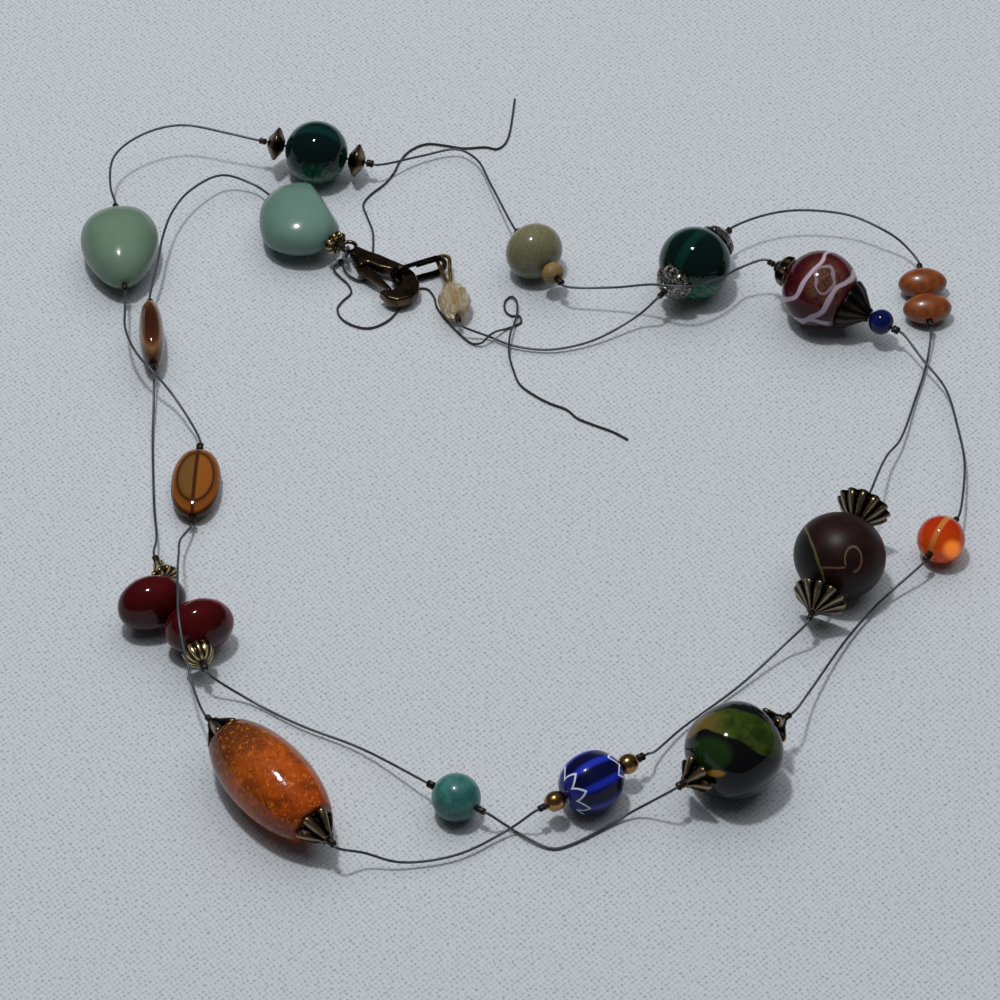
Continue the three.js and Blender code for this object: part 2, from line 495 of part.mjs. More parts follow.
// A closed ring or long link of round stock: the straight part's length is `run`
function ringShape(radius, run, stock, sides, steps) {
  const half = steps / 2;
  const corners = [];
  for (let index = 0; index < steps; index += 1) {
    const turn = (Math.PI * (index % half)) / (half - 1) - Math.PI / 2;
    const way = index < half ? 1 : -1;
    corners.push(new THREE.Vector3(way * (run / 2 + radius * Math.cos(turn)), way * radius * Math.sin(turn), 0));
  }
  const outline = [];
  for (let side = 0; side < sides; side += 1) {
    const turn = (2 * Math.PI * side) / sides;
    outline.push([Math.cos(turn) * stock / 2, Math.sin(turn) * stock / 2]);
  }
  const vertices = [];
  const faces = [];
  corners.forEach((corner, index) => {
    const before = corners[(index + steps - 1) % steps];
    const after = corners[(index + 1) % steps];
    const run2 = new THREE.Vector3().subVectors(after, before).normalize();
    const outward = new THREE.Vector3(run2.y, -run2.x, 0);
    outline.forEach(([out, up]) => vertices.push(corner.x + outward.x * out, corner.y + outward.y * out, up));
    outline.forEach((_, side) => {
      const [a, b] = [index * sides + side, index * sides + (side + 1) % sides];
      const ahead = ((index + 1) % steps) * sides;
      const [c, d] = [ahead + (side + 1) % sides, ahead + side];
      faces.push(a, d, b, b, d, c);
    });
  });
  const geometry = new THREE.BufferGeometry();
  geometry.setAttribute('position', new THREE.BufferAttribute(new Float32Array(vertices), 3));
  geometry.setIndex(faces);
  return geometry;
}

const firstStop = groupsOnly[0];
const lastStop = groupsOnly[groupsOnly.length - 1];

// The clasp lies flat, its ring at its frame's origin and its nose along +X
const claspFrame = groupFrame(CLASP);
laid.add(claspFrame);

// The hook: the arm, the nose and the hooked tip, as shares of the clasp's length and width.
// Its ring end is at x = 0, the gap that the lever closes is on the -Y side.
const HOOK_OUTSIDE = [
  [0.075, -0.12], [0.21, -0.20], [0.33, -0.24], [0.335, -0.04], [0.46, 0.08], [0.56, 0.24], [0.66, 0.30],
  [0.74, 0.24], [0.79, 0.06], [0.785, -0.22], [0.735, -0.25], [0.735, -0.42], [0.86, -0.40], [0.955, -0.26],
  [1.0, 0.04], [0.97, 0.34], [0.88, 0.52], [0.74, 0.63], [0.62, 0.62], [0.48, 0.50], [0.34, 0.36],
  [0.20, 0.22], [0.075, 0.12],
];

function claspBody() {
  const outline = new THREE.Shape(HOOK_OUTSIDE.map(
    ([along, side]) => new THREE.Vector2(along * CLASP.long, side * CLASP.wide)));
  const bevel = 0.35;
  const plate = new THREE.ExtrudeGeometry(outline, {
    depth: CLASP.thick - 2 * bevel, bevelSize: bevel, bevelThickness: bevel, bevelOffset: -bevel, bevelSegments: 1,
  }).translate(0, 0, -CLASP.thick / 2 + bevel);
  const ring = ringShape(CLASP_RING.radius, 0, CLASP_RING.stock, 6, 16);
  return { plate, ring };
}

const PIVOT = { along: 0.27 * CLASP.long, side: -0.06 * CLASP.wide };
const { plate, ring } = claspBody();
const SLOT = { ahead: 4.2, deep: 6 };
const slotBack = LEVER.eye / 2 + GAP;
const slot = new THREE.BoxGeometry(slotBack + SLOT.ahead, SLOT.deep, LEVER.thick + 2 * GAP)
  .translate(PIVOT.along + (SLOT.ahead - slotBack) / 2, PIVOT.side + slotBack - SLOT.deep / 2, 0);
const pin = new THREE.CylinderGeometry(LEVER.pin / 2, LEVER.pin / 2, CLASP.thick - 0.2, 10)
  .rotateX(Math.PI / 2).translate(PIVOT.along, PIVOT.side, 0);
addPiece(claspFrame, 'clasp_hook', join([cut(plate, [slot]), ring, pin]), metal(0x5a5046, 0.35));

// The lever: an eye on the pin, a curved bar to the hook's tip and a thumb knob on its outer side
function leverShape() {
  const eye = new THREE.CylinderGeometry(LEVER.eye / 2, LEVER.eye / 2, LEVER.thick, 12).rotateX(Math.PI / 2);
  const hole = new THREE.CylinderGeometry(LEVER.pin / 2 + GAP, LEVER.pin / 2 + GAP, 2 * LEVER.thick, 12)
    .rotateX(Math.PI / 2);
  const bar = new THREE.Shape();
  bar.moveTo(0.8, 0.35);
  bar.quadraticCurveTo(0.5 * LEVER.long, 0.2, LEVER.long, -0.05);
  bar.lineTo(LEVER.long, -0.05 - LEVER.wide);
  bar.quadraticCurveTo(0.5 * LEVER.long, -0.8 - LEVER.wide, 1.6, -LEVER.thumb - 1.0);
  bar.lineTo(0.2, -LEVER.thumb - 0.5);
  bar.lineTo(-0.1, -0.9);
  bar.closePath();
  const blade = new THREE.ExtrudeGeometry(bar, { depth: LEVER.thick, bevelEnabled: false, curveSegments: 4 })
    .translate(0, 0, -LEVER.thick / 2);
  return cut(join([eye, blade]), [hole]);
}
const lever = addPiece(claspFrame, 'clasp_lever', leverShape(), metal(0x5a5046, 0.35));
lever.position.set(PIVOT.along, PIVOT.side, 0);

// The link stands on edge, one end round the hook's arm and the other in the string's gold-wound loop
const linkFrame = new THREE.Group();
linkFrame.position.set(...stepFrom(linkFoot, LINK.heading, (LINK.long - LINK.stock) / 2), LINK.tall / 2);
linkFrame.rotation.set(Math.PI / 2, 0, radians(LINK.heading), 'ZYX');
laid.add(linkFrame);
addPiece(linkFrame, 'clasp_link', ringShape((LINK.tall - LINK.stock) / 2, LINK.long - LINK.tall, LINK.stock, 6, 20),
  metal(0x2e2a26));

// The string: its run, the crimps pressed on it, its loop through the ring and its gold-wound loop round the link
const crimpSpots = groupsOnly.flatMap((stop) => [[stop.enter, stop.heading], [stop.leave, stop.heading]]);
const crimps = crimpSpots.map(([spot, heading]) => {
  const shape = new THREE.CylinderGeometry(CRIMP.wide / 2, CRIMP.wide / 2, CRIMP.long, 6);
  const turn = new THREE.Quaternion().setFromUnitVectors(new THREE.Vector3(0, 1, 0), heading);
  return shape.applyQuaternion(turn).translate(...spot.toArray());
});
const endLoop = ringShape(END_LOOP.radius, 0, WIRE, 6, 16).rotateX(Math.PI / 2)
  .rotateZ(radians(END_LOOP.turn)).translate(...loopMiddle.toArray());
const goldLoop = ringShape((GOLD_LOOP.wide - GOLD_LOOP.stock) / 2, GOLD_LOOP.long - GOLD_LOOP.wide,
  GOLD_LOOP.stock, 6, 20);
const goldMiddle = lastStop.leave.clone()
  .addScaledVector(lastStop.heading, GOLD_LOOP.long / 2 - GOLD_LOOP.stock / 2);
goldLoop.rotateZ(Math.atan2(lastStop.heading.y, lastStop.heading.x)).translate(...goldMiddle.toArray());
const wireMetal = metal(0x3a3f44, 0.5);
addPiece(laid, 'beading_wire_first_turn',
  join([tube(firstTurn, WIRE, 5), ...crimps.slice(0, 2 * half + 1), endLoop]), wireMetal);
addPiece(laid, 'beading_wire_second_turn',
  join([tube(secondTurn, WIRE, 5), ...crimps.slice(2 * half + 1), goldLoop]), wireMetal);

// The sewing thread: a knot beside the ring and two loose tails
const knot = new THREE.SphereGeometry(KNOT.wide / 2, 10, 6).rotateX(Math.PI / 2).translate(...KNOT.at);
addPiece(laid, 'thread_knot', knot, glaze(0x14161a, 0.9));
for (const [name, points] of Object.entries(THREADS)) {
  const curve = new THREE.CatmullRomCurve3(points.map(vector), false, 'centripetal');
  const steps = Math.round(curve.getLength() / THREAD_STEP);
  addPiece(laid, name, tube(curve.getSpacedPoints(steps), THREAD, 6), glaze(0x14161a, 0.9));
}

// Stand the necklace with the middle of its footprint at the origin, on the table
const box = new THREE.Box3();
laid.updateMatrixWorld(true);
laid.traverse((piece) => {
  if (piece.isMesh && !piece.name.startsWith('thread')) box.expandByObject(piece, true);
});
const middle = box.getCenter(new THREE.Vector3());
laid.position.set(-middle.x, -middle.y, -box.min.z);

export default necklace;
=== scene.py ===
import math

import bpy
from mathutils import Matrix, Vector, noise


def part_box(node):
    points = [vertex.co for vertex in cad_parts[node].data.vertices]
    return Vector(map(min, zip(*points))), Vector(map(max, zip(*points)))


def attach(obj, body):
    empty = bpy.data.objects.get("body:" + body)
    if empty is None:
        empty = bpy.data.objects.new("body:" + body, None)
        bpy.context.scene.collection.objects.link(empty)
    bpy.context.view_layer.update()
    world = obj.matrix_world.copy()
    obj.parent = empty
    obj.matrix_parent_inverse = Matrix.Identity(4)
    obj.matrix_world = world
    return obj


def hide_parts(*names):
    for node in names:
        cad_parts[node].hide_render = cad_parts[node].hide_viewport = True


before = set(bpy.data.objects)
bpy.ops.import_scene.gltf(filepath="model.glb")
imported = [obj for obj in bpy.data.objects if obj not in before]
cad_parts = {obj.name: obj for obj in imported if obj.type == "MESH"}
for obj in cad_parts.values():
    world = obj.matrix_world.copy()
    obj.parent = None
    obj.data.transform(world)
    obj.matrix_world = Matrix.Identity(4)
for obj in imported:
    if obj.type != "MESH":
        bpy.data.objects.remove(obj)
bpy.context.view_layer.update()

# Camera.
# The photograph looks down at the table from 48 degrees, from far away with a long lens.
# Places on the table are in millimetres, as the route of the string in the CAD has them.
low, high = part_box("turquoise_bead")
TABLE = (low + high) / 2 - Vector((-7.4, -71.4, 4.22)) / 1000


def on_table(point):
    return TABLE + Vector(point) / 1000


ELEVATION = math.radians(48)
DISTANCE = 822.8
LENS = 164.6
SENSOR = 36
camera = bpy.data.objects.new("camera", bpy.data.cameras.new("camera"))
camera.data.lens = LENS
camera.data.sensor_width = SENSOR
camera.data.clip_end = 10
camera.location = on_table((0, -DISTANCE * math.cos(ELEVATION), DISTANCE * math.sin(ELEVATION)))
camera.rotation_euler = (math.pi / 2 - ELEVATION, 0, 0)
bpy.context.scene.collection.objects.link(camera)
bpy.context.scene.camera = camera


# Materials.
# Each is a Principled shader with a few nodes before it, which read places on the piece in millimetres.
# Colours are written as they show on a screen, from 0 to 255.
def linear(colour):
    return tuple((value / 255 / 12.92) if value < 11 else ((value / 255 + 0.055) / 1.055) ** 2.4
                 for value in colour)


class Paint:
    """A procedural material: a Principled shader, and short calls that add nodes before it."""

    def __init__(self, name, colour=(128, 128, 128), **settings):
        self.mat = bpy.data.materials.new(name)
        self.mat.use_nodes = True
        self.tree = self.mat.node_tree
        self.shader = self.tree.nodes["Principled BSDF"]
        self.put("Base Color", colour)
        for socket, value in settings.items():
            self.put(socket.title(), value)

    def feed(self, socket, value):
        if isinstance(value, bpy.types.NodeSocket):
            self.tree.links.new(value, socket)
        elif isinstance(value, tuple) and len(value) == 3 and socket.type == "RGBA":
            socket.default_value = (*linear(value), 1)
        else:
            socket.default_value = value

    def put(self, socket, value):
        self.feed(self.shader.inputs[socket], value)

    def node(self, kind, *inputs, **settings):
        made = self.tree.nodes.new("ShaderNode" + kind)
        for key, value in settings.items():
            setattr(made, key, value)
        for index, value in enumerate(inputs):
            if value is not None:
                self.feed(made.inputs[index], value)
        return made

    def place(self, scale=(1000, 1000, 1000), shift=(0, 0, 0), turn=(0, 0, 0)):
        """Object coordinates in millimetres."""
        return self.node("Mapping", self.node("TexCoord").outputs["Object"], shift, turn, scale).outputs[0]

    def noise(self, scale, detail=2.0, rough=0.5, distort=0.0):
        made = self.node("TexNoise", self.place())
        for key, value in (("Scale", scale), ("Detail", detail), ("Roughness", rough), ("Distortion", distort)):
            made.inputs[key].default_value = value
        return made.outputs["Fac"]

    def math(self, operation, first, second=0.0, third=0.0):
        return self.node("Math", first, second, third, operation=operation).outputs[0]

    def plus(self, first, second):
        return self.math("ADD", first, second)

    def less(self, first, second):
        return self.math("SUBTRACT", first, second)

    def times(self, first, second):
        return self.math("MULTIPLY", first, second)

    def half(self, value):
        """From -1 to 1, to 0 to 1."""
        return self.math("MULTIPLY_ADD", value, 0.5, 0.5)

    def waver(self, size, *noise):
        """A noise about zero."""
        return self.times(self.less(self.noise(*noise), 0.5), size)

    def apart(self, vector):
        return self.node("SeparateXYZ", vector).outputs

    def ramp(self, value, *stops, shape="LINEAR"):
        made = self.node("ValToRGB", value)
        ramp = made.color_ramp
        ramp.interpolation = shape
        while len(ramp.elements) < len(stops):
            ramp.elements.new(0.5)
        for element, (place, colour) in zip(ramp.elements, stops):
            element.position = place
            element.color = (*linear(colour), 1) if isinstance(colour, tuple) else (colour, colour, colour, 1)
        return made.outputs[0]

    def mottle(self, dark, light, *noise):
        """A colour between two, by a noise."""
        return self.ramp(self.noise(*noise), (0.35, dark), (0.65, light))

    def step(self, value, low, high):
        """Smoothly from 0 at low to 1 at high."""
        made = self.node("MapRange", value, interpolation_type="SMOOTHSTEP")
        made.inputs[1].default_value, made.inputs[2].default_value = low, high
        return made.outputs[0]

    def line(self, value, half):
        """1 where the value is within half of zero, with soft edges."""
        return self.step(self.math("ABSOLUTE", value), 1.3 * half, 0.7 * half)

    def spread(self, place, radius, *ways):
        """How far a point of the bead lies along each way, as a share of its radius."""
        spot = self.node("TexCoord").outputs["Object"]
        turn = place.to_3x3().inverted()
        return [self.node("VectorMath", spot, tuple(turn @ (way * (1000 / radius))),
                          operation="DOT_PRODUCT").outputs["Value"] for way in ways]

    def far(self, across, up, spot, size=(1, 1)):
        """Distance from a spot of the bead's face, stretched by size."""
        terms = [self.math("DIVIDE", self.less(value, middle), reach)
                 for value, middle, reach in zip((across, up), spot, size)]
        return self.math("SQRT", self.plus(self.times(terms[0], terms[0]), self.times(terms[1], terms[1])))

    def mix(self, share, first, second):
        made = self.node("Mix", data_type="RGBA")
        self.feed(made.inputs[0], share)
        self.feed(made.inputs[6], first)
        self.feed(made.inputs[7], second)
        return made.outputs[2]

    def gloss(self, level, coat, rough):
        """The share of light that the surface mirrors, and its clear coat."""
        self.put("Specular IOR Level", level)
        self.put("Coat Weight", coat)
        self.put("Coat Roughness", rough)

    def glow(self, weight, *radius):
        """Light that spreads below the surface, in metres for red, green and blue."""
        self.put("Subsurface Weight", weight)
        self.put("Subsurface Radius", radius)

    def bump(self, height, strength=0.3, distance=0.0002):
        made = self.node("Bump")
        made.inputs["Strength"].default_value = strength
        made.inputs["Distance"].default_value = distance
        self.feed(made.inputs["Height"], height)
        self.put("Normal", made.outputs[0])


def dress(obj, paint, slot, *nodes, body="string"):
    """Gives a piece its material and its body, and names the nodes that it stands for."""
    obj.data.materials.clear()
    obj.data.materials.append(paint.mat)
    if nodes:
        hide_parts(*nodes)
    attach(obj, body)
    return obj


def smooth_route(points, per_span=5):
    """A centripetal Catmull-Rom curve by the points, as the CAD's."""
    ends = [points[0] * 2 - points[1], *points, points[-1] * 2 - points[-2]]
    route = []
    for index in range(1, len(ends) - 2):
        a, b, c, d = ends[index - 1:index + 3]
        u = max((b - a).length, 1e-6) ** 0.5
        v = max((c - b).length, 1e-6) ** 0.5
        w = max((d - c).length, 1e-6) ** 0.5
        leave = ((b - a) / u - (c - a) / (u + v) + (c - b) / v) * v
        reach = ((c - b) / v - (d - b) / (v + w) + (d - c) / w) * v
        for step in range(per_span):
            t = step / per_span
            route.append((2 * t ** 3 - 3 * t ** 2 + 1) * b + (t ** 3 - 2 * t ** 2 + t) * leave
                         + (3 * t ** 2 - 2 * t ** 3) * c + (t ** 3 - t ** 2) * reach)
    return [*route, points[-1].copy()]


def strand(name, route, diameter):
    """A round wire along a route."""
    curve = bpy.data.curves.new(name, "CURVE")
    curve.dimensions = "3D"
    curve.bevel_depth = diameter / 2000
    curve.bevel_resolution = 3
    curve.use_fill_caps = True
    spline = curve.splines.new("POLY")
    spline.points.add(len(route) - 1)
    for point, spot in zip(spline.points, route):
        point.co = (*spot, 1)
    obj = bpy.data.objects.new(name, curve)
    bpy.context.scene.collection.objects.link(obj)
    return obj


# The sewing thread.
# A black cotton thread is knotted beside the clasp's ring and its two tails lie loose on the cloth.
# Each tail ends plainly where it was cut.
THREAD = 0.42
ON_CLOTH = 0.3  # height of a point of a tail where none is given
THREADS = {
    "thread_lower_tail": [
        (-30.7, 59.0, 0.8), (-31.4, 58.0, 0.8), (-30.1, 56.0, 0.5), (-28.6, 54.3), (-27.9, 52.0), (-29.4, 49.9),
        (-30.4, 47.8), (-29.5, 45.2), (-27.0, 43.3), (-24.2, 42.8), (-20.9, 44.7), (-18.9, 47.7), (-17.2, 51.0),
        (-15.6, 53.0), (-13.7, 53.0), (-12.4, 51.0), (-11.8, 48.2), (-9.6, 44.2), (-7.3, 41.0), (-5.2, 38.8),
        (-3.4, 38.3, 1.0), (-2.0, 39.3, 1.9), (-0.6, 40.8, 1.5), (0.9, 42.3, 0.5), (2.4, 43.2), (3.9, 44.3),
        (3.6, 45.9), (2.1, 46.0), (1.0, 47.3), (1.0, 49.8), (2.1, 50.9, 0.4), (3.0, 49.6, 0.8), (3.2, 46.1, 1.1),
        (2.6, 42.8, 1.3), (2.0, 40.2, 1.9), (1.7, 37.7, 2.0), (1.7, 35.0, 1.2), (2.5, 31.9), (3.7, 28.3),
        (6.7, 25.3), (9.1, 23.6), (12.2, 22.0), (14.2, 19.8), (16.7, 18.4), (20.7, 16.4), (23.3, 14.5)],
    "thread_upper_tail": [
        (-29.6, 58.7, 0.8), (-29.4, 57.8, 0.8), (-28.7, 56.6, 0.7), (-27.6, 55.5, 0.7), (-26.2, 54.9, 0.5),
        (-24.9, 55.6), (-23.7, 57.2), (-23.3, 59.4), (-24.0, 62.9), (-24.0, 65.3), (-24.2, 68.5), (-25.3, 72.3),
        (-26.1, 75.6), (-25.0, 78.0), (-21.9, 81.6), (-20.3, 84.6), (-19.3, 87.5), (-17.2, 90.7), (-14.1, 92.4),
        (-10.3, 91.9), (-7.1, 91.2), (-2.7, 91.5), (-0.6, 91.0), (0.8, 92.2), (1.7, 94.6), (2.3, 98.9),
        (2.9, 105.1)],
}
cotton = Paint("cotton", (24, 26, 30), roughness=0.9)
cotton.put("Sheen Weight", 0.3)
cotton.bump(cotton.noise(4, 3), 0.5)
dress(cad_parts["thread_knot"], cotton, "black_thread")
for name, points in THREADS.items():
    route = smooth_route([on_table((*point, ON_CLOTH)[:3]) for point in points])
    tail = dress(strand(name + "_line", route, THREAD), cotton, "black_thread", name)


# Table and light.
# The necklace lies on a pale cool grey cloth with fine uneven dots in its weave.
# A small lamp overhead, a little to the left, gives the shadows and the sharp spot on each polished bead.
# A wide soft lamp fills in; it isn't mirrored in the glass.
WEAVE = (5700, 5000, 5700)
FLOOR_HALF = 3
cloth = Paint("cloth", roughness=0.95)
weave = cloth.apart(cloth.place(scale=WEAVE, turn=(0, 0, 0.08)))
sway = cloth.times(cloth.noise(0.45, 3), 7.0)
dots = cloth.times(cloth.math("SINE", cloth.plus(weave[0], sway)),
                   cloth.math("SINE", cloth.plus(weave[1], sway)))
dots = cloth.plus(cloth.times(dots, 0.3), cloth.noise(1.3, 3))
cloth.put("Base Color", cloth.ramp(dots, (0.35, (180, 185, 190)), (0.62, (173, 178, 184)),
                                   (0.85, (140, 147, 156))))
cloth.bump(dots, 0.25, 0.0002)
floor_mesh = bpy.data.meshes.new("floor")
corners = ((-1, -1), (1, -1), (1, 1), (-1, 1))
floor_mesh.from_pydata([(x * FLOOR_HALF, y * FLOOR_HALF, 0) for x, y in corners], [], [(0, 1, 2, 3)])
floor = bpy.data.objects.new("floor", floor_mesh)
floor.data.materials.append(cloth.mat)
floor.location.z = TABLE.z
bpy.context.scene.collection.objects.link(floor)


def lamp(name, place, size, power, mirrored=True):
    light = bpy.data.lights.new(name, "AREA")
    light.shape = "DISK"
    light.size = size
    light.energy = power
    obj = bpy.data.objects.new(name, light)
    obj.location = on_table(place)
    obj.rotation_euler = (on_table((0, 0, 0)) - obj.location).to_track_quat("-Z", "Y").to_euler()
    obj.visible_glossy = mirrored
    bpy.context.scene.collection.objects.link(obj)


lamp("overhead", (-150, 60, 1000), 0.09, 5.4)
lamp("ceiling", (60, 420, 1100), 2.0, 13.5, mirrored=False)
world = bpy.data.worlds.new("world")
world.use_nodes = True
sky = world.node_tree.nodes["Background"]
sky.inputs["Color"].default_value = (0.95, 0.97, 1.0, 1)
sky.inputs["Strength"].default_value = 0.06
bpy.context.scene.world = world
bpy.context.scene.view_settings.view_transform = "Standard"


# Beading wire and its crimps.
# Nylon-coated steel wire, one length that goes twice round, straight inside each group of beads.
# A small blackened crimp is pressed on it at each end of a group, which keeps the beads in their place.
WIRE = 0.46
BORE = 1.1
CRIMP = {"wide": 1.5, "long": 1.4}
GROUPS = {  # middle, heading, pitch, and how far the crimps' middles lie before and after it
    "aqua": ((-37.1, 67.4, 4.4), 130.7, -6.5, 11.4, 9.6),
    "topaz_on_edge": ((-64.3, 36.8, 4.6), -84.9, -0.6, 8.2, 8.2),
    "red": ((-55.75, -31.6, 5.5), -68.9, 0, 13.43, 12.93),
    "turquoise": ((-7.4, -71.4, 4.22), -32.8, 0, 5.1, 5.1),
    "green_black": ((39.6, -64.4, 8.14), 38.8, 0, 11.9, 11.9),
    "orange_red": ((78.2, -13.3, 4.32), 57.7, 0, 5.2, 5.2),
    "red_white": ((59.4, 46.0, 7.32), 149.2, 8.5, 16.1, 10.5),
    "taupe": ((6.4, 57.8, 5.52), 121, 0, 9.3, 5.8),
    "dark_green_1": ((-35.1, 84.0, 6.07), 170.9, 7.5, 10.45, 10.45),
    "light_green": ((-71.3, 59.0, 5.4), -82.4, 0, 10.7, 10.7),
    "topaz_flat": ((-54.7, 1.8, 2.5), -92.1, 0, 8.9, 8.9),
    "barrel": ((-38.8, -69.8, 6.92), -50.2, -1.7, 16.8, 16.8),
    "chevron": ((15.5, -69.0, 5.32), 32.8, 0, 10.0, 10.0),
    "brown": ((59.7, -20.2, 7.75), 66.1, 6, 14.0, 12.8),
    "discs": ((79.3, 48.7, 2.84), 93.9, 0, 7.55, 7.55),
    "dark_green_2": ((36.4, 53.4, 6.87), -127.9, 0, 10.5, 10.5),
    "crystal": ((-8.66, 47.07, 3.14), 100.5, 0, 4.8, 4.8),
}
FIRST_TURN = [
    (-28.81, 58.77, 3.9), (-28.9, 58.03, 5.1),
    "aqua", (-47.0, 78.7, 2.6), (-52.9, 79.6, 4.3), (-58.7, 74.2, 5.6), (-61.8, 68.0, 6.1), (-63.3, 61.0, 6.4),
    (-64.0, 54.5, 6.0),
    "topaz_on_edge", (-63.3, 22.5, 2.5), (-63.2, 14.8, 0.8), (-62.7, 6.2, 0.4), (-62.0, -3.1, 0.8),
    (-61.1, -11.3, 2.5),
    "red", (-43.4, -47.5, 1.2), (-34.6, -53.0, 1.1), (-23.9, -58.5, 1.5),
    "turquoise", (2.0, -75.3, 0.6), (4.6, -77.3, 0.7), (8.9, -79.3, 0.4), (12.8, -78.0, 0.4), (22.7, -72.3, 1.8),
    "green_black", (53.6, -47.4, 3.8), (60.6, -34.1, 1.6), (66.7, -25.8, 1.7),
    "orange_red", (83.3, 0.8, 3.0), (83.9, 7.7, 2.4), (83.3, 15.5, 2.2), (81.6, 25.2, 2.6), (77.6, 32.1, 3.4),
    "red_white", (44.6, 51.0, 7.9), (41.8, 48.2, 8.7), (38.6, 45.7, 9.6), (35.2, 44.1, 10.1), (31.4, 44.2, 10.0),
    (28.0, 45.9, 8.7), (21.2, 47.4, 6.4),
    "taupe", (-1.8, 78.3, 3.2), (-4.5, 86.1, 2.2), (-8.2, 89.1, 2.0), (-15.0, 87.4, 1.9),
    "dark_green_1", (-51.9, 87.1, 8.1), (-61.3, 89.1, 8.4), (-68.6, 86.8, 8.0), (-73.6, 81.7, 7.2),
    (-74.0, 74.9, 6.0),
    "light_green"]
SECOND_TURN = [
    "light_green", (-69.4, 41.3, 6.2), (-69.1, 36.8, 6.8), (-67.8, 32.3, 7.2), (-65.9, 28.6, 7.2),
    (-63.8, 26.0, 6.9), (-59.3, 21.3, 4.2),
    "topaz_flat", (-56.6, -13.8, 4.9), (-56.4, -20.7, 8.7), (-56.2, -26.6, 11.0), (-55.9, -31.7, 11.6),
    (-55.6, -36.3, 11.4), (-54.8, -41.2, 9.8), (-53.6, -45.9, 7.7), (-52.4, -50.2, 6.8),
    "barrel", (-22.8, -82.8, 3.8), (-16.7, -83.2, 1.7), (-7.0, -81.3, 1.4), (2.0, -75.9, 1.8),
    "chevron", (26.4, -60.4, 2.9), (31.2, -54.1, 1.4), (41.5, -44.4, 1.2), (49.8, -36.6, 3.4),
    "brown", (69.6, 6.4, 4.6), (72.6, 12.4, 2.6), (76.0, 23.4, 1.2), (78.8, 33.1, 1.2),
    "discs", (75.3, 61.6, 4.5), (71.4, 63.6, 6.0), (66.2, 66.2, 6.6), (60.2, 67.3, 6.8), (54.4, 67.3, 6.8),
    (49.0, 65.9, 6.7),
    "dark_green_2", (25.8, 43.2, 3.4), (18.6, 39.3, 1.4), (13.5, 37.4, 1.0), (8.3, 36.7, 0.8), (2.3, 37.8, 0.8),
    (-1.8, 39.9, 0.9),
    "crystal"]


def turn_frame(spot, heading, pitch=0.0):
    """A bead's place: local +X is the string's direction."""
    return (Matrix.Translation(spot) @ Matrix.Rotation(math.radians(heading), 4, "Z")
            @ Matrix.Rotation(-math.radians(pitch), 4, "Y"))


def place_of(group):
    spot, heading, pitch = GROUPS[group][:3]
    return turn_frame(on_table(spot), heading, pitch)


def wire_route(stops):
    return [spot for stop in stops for spot in (through(stop) if stop in GROUPS else [on_table(stop)])]


def through(group):
    """The straight of the wire through a group, a little longer than from crimp to crimp."""
    before, after = GROUPS[group][3:]
    ease = CRIMP["long"]
    marks = (-before - ease, -before, -0.5 * before, 0, 0.5 * after, after, after + ease)
    return [place_of(group) @ Vector((mark / 1000, 0, 0)) for mark in marks]


def mesh_object(name, vertices, faces, place):
    mesh = bpy.data.meshes.new(name)
    mesh.from_pydata(vertices, [], faces)
    mesh.polygons.foreach_set("use_smooth", [True] * len(mesh.polygons))
    mesh.update()
    obj = bpy.data.objects.new(name, mesh)
    bpy.context.scene.collection.objects.link(obj)
    obj.matrix_world = place
    return obj


def lathe(profile, squash=1.0, sides=56, warp=None):
    """Vertices and faces of a closed profile of (along, radius) in millimetres turned about +X."""
    vertices = []
    for along, radius in profile:
        for side in range(sides):
            turn = 2 * math.pi * side / sides
            x, r = warp(along, radius, turn) if warp else (along, radius)
            tall = squash if r > BORE / 2 + 0.01 else 1
            vertices.append((x / 1000, r * math.cos(turn) / 1000, r * math.sin(turn) * tall / 1000))
    faces = []
    for ring in range(len(profile)):
        ahead = (ring + 1) % len(profile)
        for side in range(sides):
            beside = (side + 1) % sides
            faces.append((ring * sides + side, ahead * sides + side, ahead * sides + beside, ring * sides + beside))
    area = sum(a[0] * b[1] - b[0] * a[1] for a, b in zip(profile, profile[1:] + profile[:1]))
    return vertices, [face[::-1] for face in faces] if area < 0 else faces


def turned(name, profile, place, squash=1.0, sides=56, warp=None):
    return mesh_object(name, *lathe(profile, squash, sides, warp), place)


coated = Paint("coated_wire", roughness=0.38)
coated.put("Base Color", coated.ramp(coated.noise(0.4, 3), (0.3, (34, 38, 43)), (0.7, (58, 63, 70))))
coated.put("Specular IOR Level", 0.7)
END_LOOP = {"middle": (-28.79, 60.78, 2.4), "radius": 1.0, "heading": -102.4, "join": 30}
loop_way = Vector((math.cos(math.radians(END_LOOP["heading"])), math.sin(math.radians(END_LOOP["heading"])), 0))
end_loop = []
for step in range(12):
    turn = math.radians(END_LOOP["join"] - 340 + 340 * step / 11)
    reach = loop_way * math.cos(turn) + Vector((0, 0, math.sin(turn)))
    end_loop.append(on_table(END_LOOP["middle"]) + reach * (END_LOOP["radius"] / 1000))
# The turns meet at the middle of the light green nugget, the fourth of the seven marks on its straight.
first_route = smooth_route(end_loop + wire_route(FIRST_TURN)[:-3])
second_route = smooth_route(wire_route(SECOND_TURN)[3:-1])
dress(strand("first_turn", first_route, WIRE), coated, "coated_wire", "beading_wire_first_turn")
dress(strand("second_turn", second_route, WIRE), coated, "coated_wire", "beading_wire_second_turn")

